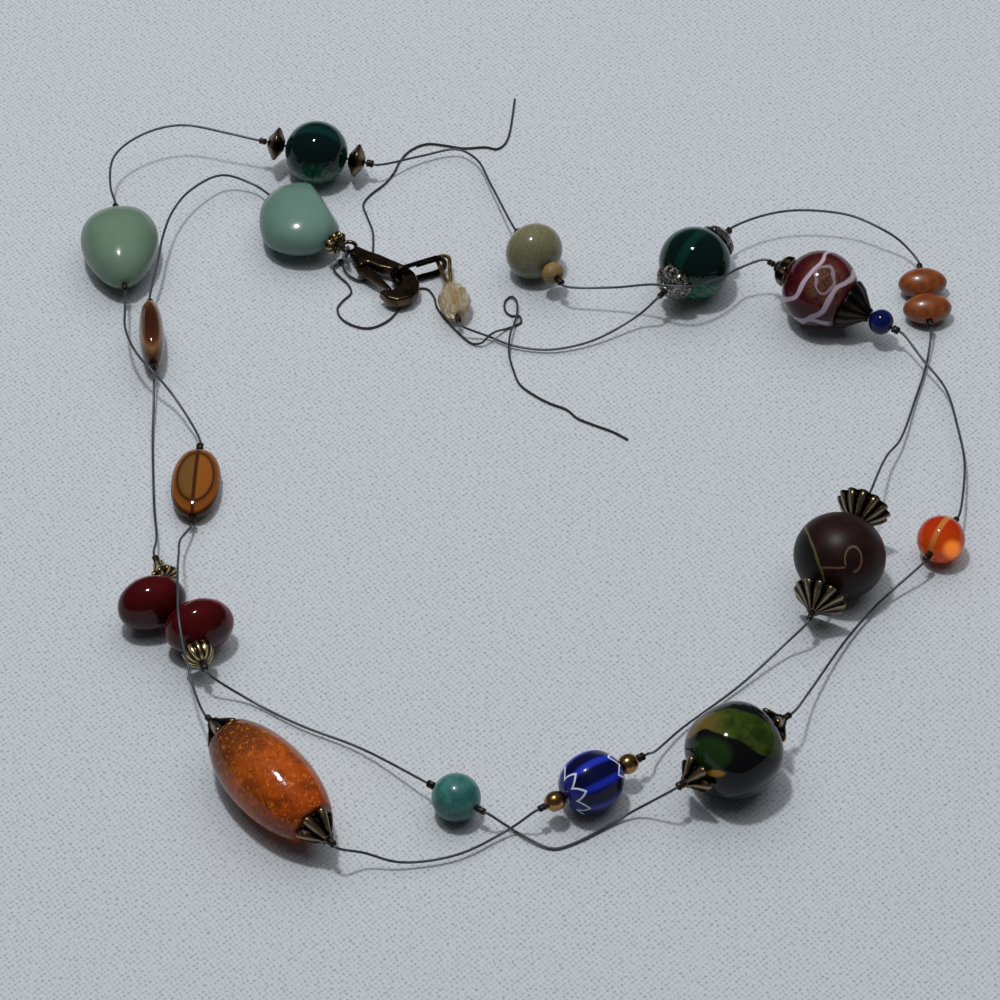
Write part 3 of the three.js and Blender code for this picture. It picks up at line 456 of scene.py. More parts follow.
blackened = Paint("blackened_crimps", metallic=0.8, roughness=0.45)
blackened.put("Base Color", blackened.ramp(blackened.noise(1.8, 4), (0.4, (26, 24, 24)),
                                           (0.65, (74, 66, 58))))
blackened.bump(blackened.noise(2.5, 3), 0.4, 0.0001)
half_long, half_wide = CRIMP["long"] / 2, CRIMP["wide"] / 2
crimp_profile = [(-half_long, 0.3), (-half_long, 0.75 * half_wide), (-0.7 * half_long, half_wide),
                 (0, 0.88 * half_wide), (0.7 * half_long, half_wide), (half_long, 0.75 * half_wide),
                 (half_long, 0.3)]
crimp_vertices, crimp_faces = [], []
for group, (_, _, _, before, after) in GROUPS.items():
    for mark in (-before, after) if group != "crystal" else (-before,):
        seat = place_of(group) @ Matrix.Translation((mark / 1000, 0, 0)) @ Matrix.Rotation(mark, 4, "X")
        vertices, faces = lathe(crimp_profile, 0.8, 16)
        start = len(crimp_vertices)
        crimp_vertices += [seat @ Vector(vertex) for vertex in vertices]
        crimp_faces += [tuple(corner + start for corner in face) for face in faces]
dress(mesh_object("crimps", crimp_vertices, crimp_faces, Matrix()), blackened, "coated_wire")


# Aqua nugget and the light green nugget.
# Tumbled pieces of translucent frosted glass, each drilled through off its middle.
# They are held on the wire by a crimp at each end, the aqua one beside a gold spacer.
def bead_profile(long, wide, full=2.0, end=1.9, rings=28):
    """The outside of a drilled bead: an oval, squarer where full is above 2, with a flat end round its hole."""
    tip = (long / 2) / (1 - (end / wide) ** full) ** (1 / full)
    outside = []
    for ring in range(rings + 1):
        along = -(long / 2) * math.cos(math.pi * ring / rings)
        outside.append((along, (wide / 2) * (1 - abs(along / tip) ** full) ** (1 / full)))
    return [*outside, (long / 2 - 0.15, BORE / 2), (-long / 2 + 0.15, BORE / 2)]


def rod(name, long, wide, place, sides=20):
    ring = [(wide / 2000 * math.cos(2 * math.pi * side / sides), wide / 2000 * math.sin(2 * math.pi * side / sides))
            for side in range(sides)]
    vertices = [(end * long / 2000, y, z) for end in (-1, 1) for y, z in ring]
    faces = [(side, (side + 1) % sides, sides + (side + 1) % sides, sides + side) for side in range(sides)]
    ends = [tuple(range(sides))[::-1], tuple(range(sides, 2 * sides))]
    return mesh_object(name, vertices, [face[::-1] for face in faces + ends], place)


def nugget(name, size, place, turn=0.0, side=0.0, up=0.0, taper=0.0, box=2.0, rough=0.0, seed=0.0, worn=None):
    """A tumbled stone drilled along X, its middle at -side, -up from the hole. Where worn is given, as a
    direction over the table and a share of the stone's size, the stone is rubbed nearly flat beyond it."""
    sides, rings = 64, 40
    if worn:
        flat = (place.to_3x3() @ Matrix.Rotation(math.radians(turn), 3, "Z")).inverted() @ worn[0].normalized()
        full = Vector(tuple(flat[axis] * size[axis] for axis in range(3))).length / 2000
    vertices, faces = [], []
    for ring in range(rings + 1):
        tilt = math.pi * ring / rings
        for step in range(sides):
            angle = 2 * math.pi * step / sides
            spot = Vector((math.sin(tilt) * math.cos(angle), math.sin(tilt) * math.sin(angle), -math.cos(tilt)))
            spot /= sum(abs(value) ** box for value in spot) ** (1 / box)
            spot *= 1 + rough * noise.noise(spot * 1.4 + Vector((seed, seed, 0)))
            spot.y *= 1 - taper * spot.x
            spot = Vector((spot.x * size[0], spot.y * size[1], spot.z * size[2])) / 2000
            if worn and spot.dot(flat) > worn[1] * full:
                beyond, soft = spot.dot(flat) - worn[1] * full, 0.3 * (1 - worn[1]) * full
                spot -= flat * (beyond - soft * (1 - math.exp(-beyond / soft)))
            spot.rotate(Matrix.Rotation(math.radians(turn), 3, "Z"))
            vertices.append(spot - Vector((0, side, up)) / 1000)
    for ring in range(rings):
        for step in range(sides):
            beside = (step + 1) % sides
            faces.append((ring * sides + step, ring * sides + beside,
                          (ring + 1) * sides + beside, (ring + 1) * sides + step))
    stone = mesh_object(name, vertices, faces, place)
    weld = stone.modifiers.new("weld", "WELD")
    weld.merge_threshold = 1e-6
    drill = rod(name + "_drill", 2 * size[0], BORE, place)
    hole = stone.modifiers.new("hole", "BOOLEAN")
    hole.operation = "DIFFERENCE"
    hole.object = drill
    graph = bpy.context.evaluated_depsgraph_get()
    cut = bpy.data.meshes.new_from_object(stone.evaluated_get(graph))
    stone.modifiers.clear()
    stone.data = cut
    bpy.data.objects.remove(drill)
    return stone


def frosted(name, rough=0.22):
    paint = Paint(name, roughness=rough)
    paint.put("Transmission Weight", 0.15)
    paint.glow(0.7, 0.004, 0.005, 0.005)
    paint.put("Subsurface Scale", 0.5)
    paint.gloss(0.2, 0.35, 0.06)
    paint.bump(paint.noise(0.9, 4), 0.15, 0.0002)
    return paint


def clouded_with_rim_shade(name, pale, deep):
    """Frosted glass with soft clouds, paler in its middle: its colour deepens towards the rim as the camera sees
    it, which is painted shade.
    """
    paint = frosted(name)
    # Painted shade: Layer Weight's facing darkens the colour towards the stone's rim.
    rim = paint.node("LayerWeight", 0.35).outputs["Facing"]
    clouds = paint.times(paint.noise(0.22, 3, 0.6, 0.6), 0.35)
    depth = paint.plus(clouds, paint.times(rim, 0.75))
    paint.put("Base Color", paint.ramp(depth, (0.2, pale), (0.85, deep)))
    return paint


aqua = nugget("aqua_stone", (17.9, 15.8, 9.8), place_of("aqua"), turn=-40.7, side=-0.75, up=-0.62, box=2.15,
              rough=0.03, seed=3, worn=(Vector((0.84, 0.41, 0.37)), 0.6))
dress(aqua, clouded_with_rim_shade("aqua_glass", (107, 138, 127), (78, 107, 97)), "aqua_glass", "aqua_nugget")
pale_green = nugget("light_green_stone", (19.4, 14.2, 10.6), place_of("light_green"), taper=0.24, box=2.05,
                    rough=0.03, seed=8)
dress(pale_green, clouded_with_rim_shade("light_green_glass", (110, 134, 115), (82, 105, 86)), "light_green_glass",
      "light_green_nugget")


# Gold spacer.
# A small pressed daisy of plated brass, with dark patina in its grooves.
# It turns freely on the wire between the aqua nugget and its crimp.
def middle(node):
    low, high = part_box(node)
    return (low + high) / 2


def heading_of(group, node):
    """The place of a small piece on a group's straight."""
    return turn_frame(middle(node), *GROUPS[group][1:3])


def metal(name, bright, dark, rough=0.3, grooves=0, depth=0.4):
    paint = Paint(name, metallic=1.0, roughness=rough)
    worn = paint.noise(1.6, 4, 0.65)
    if grooves:
        spot = paint.apart(paint.place())
        turn = paint.math("ARCTAN2", spot[2], spot[1])
        wave = paint.math("COSINE", paint.times(turn, float(grooves)))
        height = paint.plus(paint.times(wave, 0.5), 0.5)
        worn = paint.plus(paint.times(worn, 0.5), paint.times(height, 0.5))
        paint.bump(height, depth, 0.0002)
    else:
        paint.bump(worn, 0.2, 0.0001)
    paint.put("Base Color", paint.ramp(worn, (0.4, dark), (0.68, bright)))
    return paint


GOLD = (214, 192, 140)
DARK_GOLD = (92, 72, 38)
gold_daisy = metal("gold_daisy", GOLD, DARK_GOLD, 0.25, 9, 0.7)
spacer = turned("gold_daisy_spacer", bead_profile(1.5, 4.4, 3, 3.4, 8), heading_of("aqua", "gold_spacer"),
                warp=lambda x, r, turn: (x, r * (1 + 0.08 * math.cos(9 * turn)) if r > 1 else r))
dress(spacer, gold_daisy, "gold_metal", "gold_spacer")


# Topaz beads.
# Two lens-shaped beads of clear brown glass, one standing on its thin edge and one lying flat.
# Each is drilled along its length, so the hole shows through as a line; a paler rim runs round the flat one.
def polished(paint, see, ior=1.52):
    paint.put("Transmission Weight", see)
    paint.put("IOR", ior)
    paint.gloss(0.14, 0.2, 0.03)


flat_long, flat_wide = 15.8, 8.9
topaz = Paint("topaz", roughness=0.08)
spot = topaz.apart(topaz.place())
edge = topaz.far(spot[0], spot[1], (0, 0), (flat_long / 2, flat_wide / 2))
face = topaz.ramp(edge, (0.55, (126, 90, 46)), (0.68, (114, 74, 34)), (0.72, (44, 22, 9)),
                  (0.8, (132, 74, 26)), (0.93, (160, 92, 34)), (1.0, (66, 32, 12)))
warm = topaz.mix(topaz.step(spot[1], -0.6, 0.6), face, (156, 92, 34))
warm = topaz.mix(topaz.step(edge, 0.62, 0.74), warm, face)
topaz.put("Base Color", topaz.mix(topaz.line(spot[1], 0.35), warm, (78, 42, 18)))
polished(topaz, 0.4)
dress(turned("topaz_flat", bead_profile(flat_long, flat_wide, 2.2), heading_of("topaz_flat", "topaz_bead_flat"),
             4.9 / flat_wide), topaz, "topaz_glass", "topaz_bead_flat")
edge_topaz = Paint("edge_topaz", roughness=0.08)
spot = edge_topaz.apart(edge_topaz.place())
edge = edge_topaz.far(spot[0], spot[1], (0, 0), (7.2, 2.3))
edge_topaz.put("Base Color", edge_topaz.ramp(edge, (0.35, (70, 34, 20)), (0.7, (104, 56, 30)),
                                             (0.85, (168, 122, 84)), (1.0, (96, 56, 32))))
polished(edge_topaz, 0.5)
dress(turned("topaz_on_edge", bead_profile(14.4, 4.6, 2.2), heading_of("topaz_on_edge", "topaz_bead_on_edge"),
             8.8 / 4.6), edge_topaz, "topaz_glass", "topaz_bead_on_edge")


# Red pebbles and their gold caps.
# Two wine-red glass pebbles, each drilled off its middle, nest on the wire between two gold caps.
# The upper cap is a fluted cone; the lower is a short ribbed barrel.
ACROSS = Vector((1, 0, 0))
UP = Vector((0, math.sin(ELEVATION), math.cos(ELEVATION)))
red_glass = Paint("wine_red", roughness=0.1)
# Painted shade: the colour deepens towards each pebble's rim as the camera sees it.
rim = red_glass.node("LayerWeight", 0.35).outputs["Facing"]
red_glass.put("Base Color", red_glass.ramp(red_glass.plus(rim, red_glass.noise(0.15, 2)),
                                           (0.4, (76, 11, 14)), (1.0, (48, 6, 9)), (1.0, (92, 20, 24))))
polished(red_glass, 0.12)
red_glass.glow(0.3, 0.003, 0.0006, 0.0006)
PEBBLE = (8.8, 12.4, 10.9)
PEBBLE_SIDES = (-3.9, 2.1)
slant = (PEBBLE_SIDES[1] - PEBBLE_SIDES[0]) / PEBBLE[1]
red_spacing = PEBBLE[0] * math.sqrt(1 - slant ** 2) + 0.35
for way, side, name in ((-1, PEBBLE_SIDES[0], "red_pebble_1"), (1, PEBBLE_SIDES[1], "red_pebble_2")):
    place = place_of("red") @ Matrix.Translation((way * red_spacing / 2000, 0, 0))
    pebble = nugget(name + "_stone", PEBBLE, place, side=-side, rough=0.02, seed=way)
    dress(pebble, red_glass, "dark_red_glass", name)


def cap(name, node, place, start, outline, lobes=0, wave=0.0, way=1, paint=None, slot="bronze_metal",
        flared=False, sides=84):
    """A bead cap from the bead's end outwards: (rise, outer radius) pairs, and back inside by its sheet."""
    reach = max(x for x, _ in outline)

    def scallop(x, r, turn):
        share = min(max((x * way - start) / reach, 0), 1)
        near_rim = share if flared else 1 - share
        swell = 1 + wave * near_rim * (2 * abs(math.cos(lobes * turn / 2)) - 1) if lobes and r > BORE else 1
        return x, r * swell
    profile = [(way * (start + x), r) for x, r in outline]
    return dress(turned(name, profile, place, sides=sides, warp=scallop), paint, slot, node)


red_reach = (red_spacing + PEBBLE[0]) / 2
gold_fluted = metal("gold_fluted", GOLD, DARK_GOLD, 0.24, 10, 0.8)
gold_ribbed = metal("gold_ribbed", (226, 210, 160), DARK_GOLD, 0.24, 12, 0.8)
cap("gold_cone", "gold_cone_cap", place_of("red"), red_reach,
    [(0.3, 0.55), (0.3, 2.5), (0.7, 2.6), (1.6, 2.0), (2.8, 1.25), (4.0, 0.95), (4.0, 0.55)], way=-1,
    paint=gold_fluted, slot="gold_metal", lobes=10, wave=0.08)
cap("gold_barrel", "gold_fluted_cap", place_of("red"), red_reach,
    [(0.3, 0.55), (0.3, 2.3), (0.7, 2.6), (1.9, 2.55), (2.9, 2.1), (3.5, 1.5), (3.5, 0.55)],
    lobes=12, wave=0.07, paint=gold_ribbed, slot="gold_metal")


# Turquoise bead.
# A small round bead of blue-green stone with a satin polish, alone between two crimps.
stone = Paint("turquoise", roughness=0.28)
stone.put("Base Color", stone.mottle((34, 80, 76), (58, 114, 108), 0.5, 4, 0.6))
stone.gloss(0.3, 0.25, 0.06)
dress(turned("turquoise_ball", bead_profile(8.2, 8.4), place_of("turquoise")), stone, "turquoise_stone",
      "turquoise_bead")


# Green and black bead with its flower caps.
# Black lampwork glass with an olive-green band and blob under a clear layer, between two dark pressed caps.
# The caps sit on the bead's ends and turn with it on the wire.
swirl = Paint("green_black", roughness=0.1)
across, up = swirl.spread(place_of("green_black"), 8.1, ACROSS, UP)
wobble = swirl.waver(0.14, 0.2, 0)
place_across = swirl.half(across)
height = swirl.plus(swirl.half(up), wobble)
band_foot = swirl.ramp(place_across, (0.0, 0.62), (0.2, 0.72), (0.38, 0.68), (0.64, 0.54), (0.86, 0.46),
                       (1.0, 0.49), shape="CARDINAL")
band_head = swirl.ramp(place_across, (0.0, 0.7), (0.12, 0.84), (0.33, 0.92), (0.72, 0.9), (0.91, 0.72),
                       (1.0, 0.56), shape="CARDINAL")
above = swirl.step(swirl.less(height, band_foot), 0.0, 0.02)
below = swirl.step(swirl.less(band_head, height), 0.0, 0.04)
olive = swirl.mottle((30, 44, 12), (54, 68, 22), 0.5, 2, 0.5, 0.5)
olive = swirl.mix(swirl.step(across, -0.1, -0.7), olive, (92, 78, 38))
blob = swirl.far(across, up, (-0.5, -0.02), (0.46, 0.42))
blob = swirl.step(swirl.plus(blob, swirl.times(wobble, 2.0)), 1.05, 0.6)
amber = swirl.step(swirl.far(across, up, (-0.42, -0.43), (0.24, 0.1)), 1.0, 0.5)
# Painted light: the lower right rim, where the clear outer glass lets light through, is painted grey.
painted_rim_light = swirl.step(swirl.less(across, up), 1.12, 1.36)
tone = swirl.mix(painted_rim_light, (10, 11, 12), (78, 80, 78))
tone = swirl.mix(blob, tone, (26, 48, 18))
tone = swirl.mix(amber, tone, (158, 112, 34))
swirl.put("Base Color", swirl.mix(swirl.times(above, below), tone, olive))
polished(swirl, 0.05)
dress(turned("green_black_ball", bead_profile(15.4, 16.2, 2.5), place_of("green_black"), sides=72), swirl,
      "green_black_glass", "green_black_bead")


def flat_cap(name, node, group, start, rim, apex, rise, way, paint, slot="bronze_metal", lobes=6, wave=0.1):
    """A pressed cap with a flat rim that stands on the bead's end, 0.3 mm off it."""
    rim, apex = rim / 2, apex / 2
    outline = [(0.3, BORE / 2), (0.3, rim - 0.3), (0.45, rim), (0.85, rim), (0.35 * rise + 0.3, 0.86 * rim),
               (0.62 * rise, 0.5 * (rim + apex)), (0.85 * rise, 1.15 * apex), (rise, apex), (rise, BORE / 2)]
    return cap(name, node, place_of(group), start, outline, lobes, wave, way, paint, slot)


def seat_of(long, wide):
    """The radius of the curve at a bead's end."""
    return wide ** 2 / (2 * long)


def petal_cap(name, node, group, start, seat, rim, apex, rise, way, paint, slot="bronze_metal", lobes=6,
              wave=0.1, waist=0.0):
    """A pressed cap that follows the bead's end, whose curve has radius `seat`."""
    play, sheet = 0.42, 0.5
    inside = [(math.sqrt((seat + play) ** 2 - r * r) - seat, r) for r in
              (BORE / 2, 0.3 * rim, 0.4 * rim, 0.5 * rim)]
    edge = inside[-1][0]
    outside = [(edge + 0.7 * sheet, rim / 2), (edge + 0.25 * (rise - edge) + sheet, 0.47 * rim - waist),
               (edge + 0.55 * (rise - edge) + 0.3, 0.37 * rim - 1.6 * waist), (0.8 * rise + 0.1, 0.5 * apex + 0.2),
               (rise, 0.5 * apex), (rise, BORE / 2)]
    return cap(name, node, place_of(group), start, inside + outside, lobes, wave, way, paint, slot)


OLD_BRASS = (124, 104, 76)
BLACKENED = (20, 17, 15)
patina = metal("patina", (150, 130, 102), BLACKENED, 0.34, 6, 1.0)
for way, node in ((-1, "dark_flower_cap"), (1, "dark_flower_cap_2")):
    flat_cap(node + "_petals", node, "green_black", 7.7, 6.0, 2.2, 3.2, way, patina, lobes=6, wave=0.3)


# Orange-red bead.
# A small ball of clear orange-red glass; light gathers at its lower side and its hole shows as a paler band.
ember = Paint("orange_red", roughness=0.06)
across, up = ember.spread(place_of("orange_red"), 4.3, ACROSS, UP)
beside = ember.apart(ember.place())[1]
# Painted light: the lower side is painted brighter, and a pale patch at the lower right is painted and given a
# faint emission, where light gathers in the glass.
glow = ember.step(ember.far(across, up, (0.38, -0.4), (0.46, 0.44)), 1.15, 0.4)
tone = ember.mix(ember.step(up, 0.9, -0.6), (178, 46, 8), (226, 82, 10))
tone = ember.mix(ember.line(beside, 0.5), tone, (206, 122, 62))
ember.put("Base Color", ember.mix(glow, tone, (255, 158, 62)))
ember.put("Emission Color", ember.mix(glow, (0.0, 0.0, 0.0), (255, 120, 20)))
ember.put("Emission Strength", 0.35)
polished(ember, 0.3)
dress(turned("orange_red_ball", bead_profile(8.4, 8.6), place_of("orange_red")), ember, "orange_red_glass",
      "orange_red_bead")


# Red and white bead with its caps and the cobalt bead.
# Maroon lampwork glass with pale trailed stripes, a dark cone on one side and a bronze flower on the other.
# The cobalt bead fills the way from the cone to its crimp.
maroon = Paint("maroon", roughness=0.1)
across, up = maroon.spread(place_of("red_white"), 7.3, ACROSS, UP)
wobble = maroon.waver(0.9, 0.16, 1, 0.4)
slope = maroon.plus(maroon.less(up, across), wobble)
stripes_and_highlight = maroon.math("MAXIMUM", maroon.line(maroon.less(slope, 0.68), 0.085),
                      maroon.line(maroon.plus(slope, 0.52), 0.1))
foot = maroon.line(maroon.plus(maroon.plus(up, 0.86), maroon.times(wobble, 0.6)), 0.06)
stripes_and_highlight = maroon.math("MAXIMUM", stripes_and_highlight, maroon.times(foot, maroon.step(across, 0.4, 0.1)))
# Painted highlight: a pale curl is drawn in the upper middle, where the glass shows a highlight; it joins the
# trailed stripes.
painted_highlight_curl = maroon.plus(maroon.far(across, up, (0.04, 0.2), (0.2, 0.32)), maroon.waver(1.8, 0.4, 0))
stripes_and_highlight = maroon.math("MAXIMUM", stripes_and_highlight, maroon.times(maroon.line(maroon.less(painted_highlight_curl, 1.0), 0.16), 0.45))
belly = maroon.step(maroon.far(across, up, (0.05, 0.15), (0.62, 0.66)), 1.1, 0.5)
mottle = maroon.ramp(maroon.noise(1.0, 4, 0.7, 0.8), (0.35, (50, 22, 22)), (0.62, (100, 70, 56)))
ground = maroon.mottle((44, 8, 14), (72, 15, 23), 0.3, 3)
ground = maroon.mix(belly, ground, mottle)
maroon.put("Base Color", maroon.mix(stripes_and_highlight, ground, (170, 152, 166)))
polished(maroon, 0.05)
dress(turned("red_white_ball", bead_profile(14.0, 14.6), place_of("red_white"), sides=72), maroon, "maroon_glass",
      "red_white_bead")
red_white_seat = seat_of(14.0, 14.6)
fluted = metal("fluted", (62, 55, 50), (26, 23, 21), 0.4, 14, 0.3)
petal_cap("fluted_cone", "fluted_cone_cap", "red_white", 7.0, red_white_seat, 9.6, 2.6, 3.6, -1, fluted,
          lobes=14, wave=0.015, waist=0.5)
bronze_gold = metal("bronze_gold", (134, 118, 84), (36, 28, 18), 0.3, 8, 0.9)
petal_cap("bronze_flower", "bronze_flower_cap", "red_white", 7.0, red_white_seat, 5.6, 2.0, 2.5, 1, bronze_gold)
cobalt = Paint("cobalt", roughness=0.16)
cobalt.put("Base Color", cobalt.mottle((7, 12, 54), (14, 23, 84), 0.8, 3))
polished(cobalt, 0.1)
dress(turned("cobalt_ball", bead_profile(4.2, 4.8, rings=14), heading_of("red_white", "cobalt_bead"), sides=32),
      cobalt, "cobalt_glass", "cobalt_bead")


# Yellow and taupe beads.
# A small matte yellow bead against a larger grey-olive glass bead, between two crimps.
yellow = Paint("yellow", roughness=0.6)
yellow.put("Base Color", yellow.mottle((106, 84, 48), (134, 112, 70), 1.2, 4))
yellow.bump(yellow.noise(2.0, 3), 0.3, 0.0001)
dress(turned("yellow_ball", bead_profile(3.2, 4.4, rings=14), heading_of("taupe", "yellow_bead"), sides=32), yellow,
      "yellow_glass", "yellow_bead")
taupe = frosted("taupe", 0.2)
speck = taupe.noise(3.5, 3, 0.7)
taupe.put("Base Color", taupe.ramp(speck, (0.35, (96, 96, 72)), (0.55, (116, 114, 88)), (0.75, (148, 142, 110))))
dress(turned("taupe_ball", bead_profile(9.6, 11.0), place_of("taupe")), taupe, "taupe_glass", "taupe_bead")


# Dark green beads.
# Two round beads of deep green glass; light passing through leaves a green glow at the lower edge.
# One sits between bronze bicones, the other between silver filigree caps.
def bottle_glass(name, group, radius):
    paint = Paint(name, roughness=0.05)
    across, up = paint.spread(place_of(group), radius, ACROSS, UP)
    bore = paint.line(paint.apart(paint.place())[1], 0.9)
    # Painted light: the lower edge is painted bright green with flecks, and the rim a lighter green, where light
    # coming through the glass gathers.
    low = paint.step(up, -0.35, -0.95)
    rim = paint.step(paint.far(across, up, (0, 0)), 0.8, 1.0)
    tone = paint.mix(paint.times(bore, 0.7), (3, 24, 22), (10, 52, 46))
    tone = paint.mix(paint.times(rim, 0.5), tone, (22, 84, 70))
    painted_glow_flecks = paint.step(paint.noise(1.3, 3, 0.6), 0.5, 0.7)
    bright = paint.mix(painted_glow_flecks, (14, 92, 66), (70, 176, 132))
    paint.put("Base Color", paint.mix(low, tone, bright))
    polished(paint, 0.25)
    return paint


bronze_cast = metal("bronze_cast", OLD_BRASS, (44, 34, 24), 0.32, 5, 0.5)
dress(turned("dark_green_ball_1", bead_profile(11.9, 12.1), place_of("dark_green_1"), sides=72),
      bottle_glass("bottle_green", "dark_green_1", 6.05), "dark_green_glass", "dark_green_bead_1")
for way, node in ((-1, "bicone_cap"), (1, "bicone_cap_2")):
    cap(node + "_cast", node, place_of("dark_green_1"), 5.95,
        [(0.3, 0.55), (0.3, 0.95), (1.55, 3.0), (1.9, 3.2), (2.2, 3.0), (3.5, 0.95), (3.5, 0.55)], way=way,
        paint=bronze_cast, lobes=5, wave=0.05)
dress(turned("dark_green_ball_2", bead_profile(13.2, 13.7), place_of("dark_green_2"), sides=72),
      bottle_glass("bottle_green_2", "dark_green_2", 6.85), "dark_green_glass", "dark_green_bead_2")
silver = metal("silver", (190, 186, 180), (24, 22, 20), 0.22, 7, 1.0)
scroll = silver.noise(1.1, 2, 0.5, 2.5)
silver.put("Base Color", silver.ramp(scroll, (0.44, (22, 20, 19)), (0.5, (150, 144, 136)),
                                     (0.56, (206, 202, 196)), (0.62, (36, 33, 30))))
silver.bump(silver.step(scroll, 0.4, 0.56), 0.8, 0.0003)
dark_green_seat = seat_of(13.2, 13.7)
for way, node in ((-1, "silver_filigree_cap"), (1, "silver_filigree_cap_2")):
    petal_cap(node + "_petals", node, "dark_green_2", 6.6, dark_green_seat, 7.2, 2.4, 2.9, way, silver,
              "silver_metal", lobes=7, wave=0.08)


# Orange barrel.
# A long barrel of amber glass full of fine bright cracks, brown towards its far end, with dark flower caps.
BARREL_LONG = 23.0
amber = Paint("crackled_amber", roughness=0.14)
spot = amber.apart(amber.place())
depth = amber.ramp(amber.math("MULTIPLY_ADD", spot[0], 1 / BARREL_LONG, 0.5), (0.0, (58, 30, 18)),
                   (0.25, (128, 64, 22)), (0.5, (184, 84, 20)), (1.0, (166, 66, 13)))
clouds = amber.step(amber.noise(0.24, 3, 0.6, 0.8), 0.42, 0.6)
depth = amber.mix(amber.times(clouds, 0.55), depth, (92, 44, 18))
crackle = amber.step(amber.noise(1.1, 5, 0.8, 1.2), 0.53, 0.68)
amber.put("Base Color", amber.mix(crackle, depth, (250, 150, 48)))
amber.bump(amber.noise(0.7, 3), 0.25, 0.0003)
polished(amber, 0.3)
amber.glow(0.25, 0.004, 0.0015, 0.0006)
dress(turned("orange_barrel_glass", bead_profile(BARREL_LONG, 13.8, 2.0, 8.4), place_of("barrel"), sides=72), amber,
      "orange_glass", "orange_barrel")
for way, node in ((-1, "barrel_flower_cap"), (1, "barrel_flower_cap_2")):
    flat_cap(node + "_petals", node, "barrel", BARREL_LONG / 2, 6.0, 2.4, 4.3, way, patina, lobes=6, wave=0.32)


# Chevron bead and its gold beads.
# A ribbed blue bead of layered glass: navy stripes run along it, and both ends show white zigzag points.
# A small gold bead sits at each end, before the crimps.
CHEVRON_RIBS = 8
chevron = Paint("chevron", roughness=0.2)
spot = chevron.apart(chevron.place())
turn = chevron.math("ARCTAN2", spot[2], spot[1])
ribs = chevron.math("COSINE", chevron.times(turn, float(CHEVRON_RIBS)))
teeth = chevron.math("PINGPONG", chevron.times(turn, CHEVRON_RIBS / math.pi), 1.0)
outward = chevron.math("ABSOLUTE", spot[0])
edge = chevron.less(outward, chevron.math("MULTIPLY_ADD", teeth, 1.5, 3.3))
blues = chevron.ramp(ribs, (0.1, (6, 9, 50)), (0.5, (16, 26, 118)), (0.9, (28, 44, 160)))
blues = chevron.mix(chevron.step(edge, 0.0, 0.2), blues, (26, 36, 112))
chevron.put("Base Color", chevron.mix(chevron.line(edge, 0.2), blues, (206, 212, 228)))
polished(chevron, 0.05)
dress(turned("chevron_glass", bead_profile(11.0, 10.6, 2.2, 3.2), place_of("chevron"), sides=90,
             warp=lambda x, r, turn: (x, r * (0.985 + 0.015 * math.cos(CHEVRON_RIBS * turn)) if r > 1.2 else r)),
      chevron, "chevron_glass", "chevron_bead")
copper_gold = metal("copper_gold", (206, 162, 106), (158, 118, 72), 0.26)
for node in ("gold_bead", "gold_bead_2"):
    dress(turned(node + "_ball", bead_profile(3.2, 3.5, rings=12), heading_of("chevron", node), sides=28),
          copper_gold, "gold_metal", node)


# Brown bead and its shell caps.
# A satin dark brown bead with a green side and thin pale trails, a fluted shell cap over its lower end.
# The upper cap sits the other way round, its scalloped rim flaring out from the bead.
brown = Paint("brown", roughness=0.42)
across, up = brown.spread(place_of("brown"), 8.2, ACROSS, UP)
wobble = brown.waver(0.1, 0.3, 2)
side_line = brown.plus(brown.plus(across, brown.math("MULTIPLY_ADD", up, 0.33, 0.55)), wobble)
body_brown = brown.mottle((25, 11, 11), (38, 18, 17), 0.5, 4, 0.6)
body_brown = brown.mix(brown.step(side_line, 0.0, -0.03), body_brown, (17, 19, 14))
loop = brown.line(brown.less(brown.far(across, up, (0.22, -0.06), (0.18, 0.27)), 1.0), 0.1)
loop = brown.times(loop, brown.math("MAXIMUM", brown.step(up, -0.22, -0.16), brown.step(across, 0.2, 0.26)))
tail = brown.times(brown.line(brown.plus(brown.plus(up, 0.24), wobble), 0.022),
                   brown.times(brown.step(across, -0.5, -0.4), brown.step(across, 0.08, 0.02)))
trail = brown.times(brown.math("MAXIMUM", loop, tail), 0.34)
body_brown = brown.mix(brown.line(side_line, 0.025), body_brown, (84, 74, 48))
brown.put("Base Color", brown.mix(trail, body_brown, (150, 116, 96)))
brown.put("Specular IOR Level", 0.2)
dress(turned("brown_ball", bead_profile(15.4, 16.4), place_of("brown"), 15.4 / 16.4, sides=72), brown,
      "brown_stone", "brown_bead")
SHELL_RIBS = 12
shell = metal("shell", (150, 134, 106), (22, 18, 15), 0.32, SHELL_RIBS, 1.0)
cap("shell_cap_fluted", "shell_cap", place_of("brown"), 7.7,
    [(1.9, 0.55), (1.6, 2.4), (1.5, 4.2), (1.7, 4.7), (2.1, 4.7), (2.9, 3.7), (3.9, 2.4), (4.8, 1.4), (5.3, 1.1),
     (5.3, 0.55)], lobes=SHELL_RIBS, wave=0.06, way=-1, paint=shell)
cap("shell_cap_flared", "flared_shell_cap", place_of("brown"), 7.7,
    [(0.3, 0.55), (0.3, 1.5), (1.1, 2.5), (2.0, 3.4), (3.0, 4.2), (4.0, 4.75), (4.0, 4.3), (3.0, 3.75),
     (2.1, 2.9), (0.9, 1.1), (0.9, 0.55)], lobes=SHELL_RIBS, wave=0.07, way=1, paint=shell, flared=True)


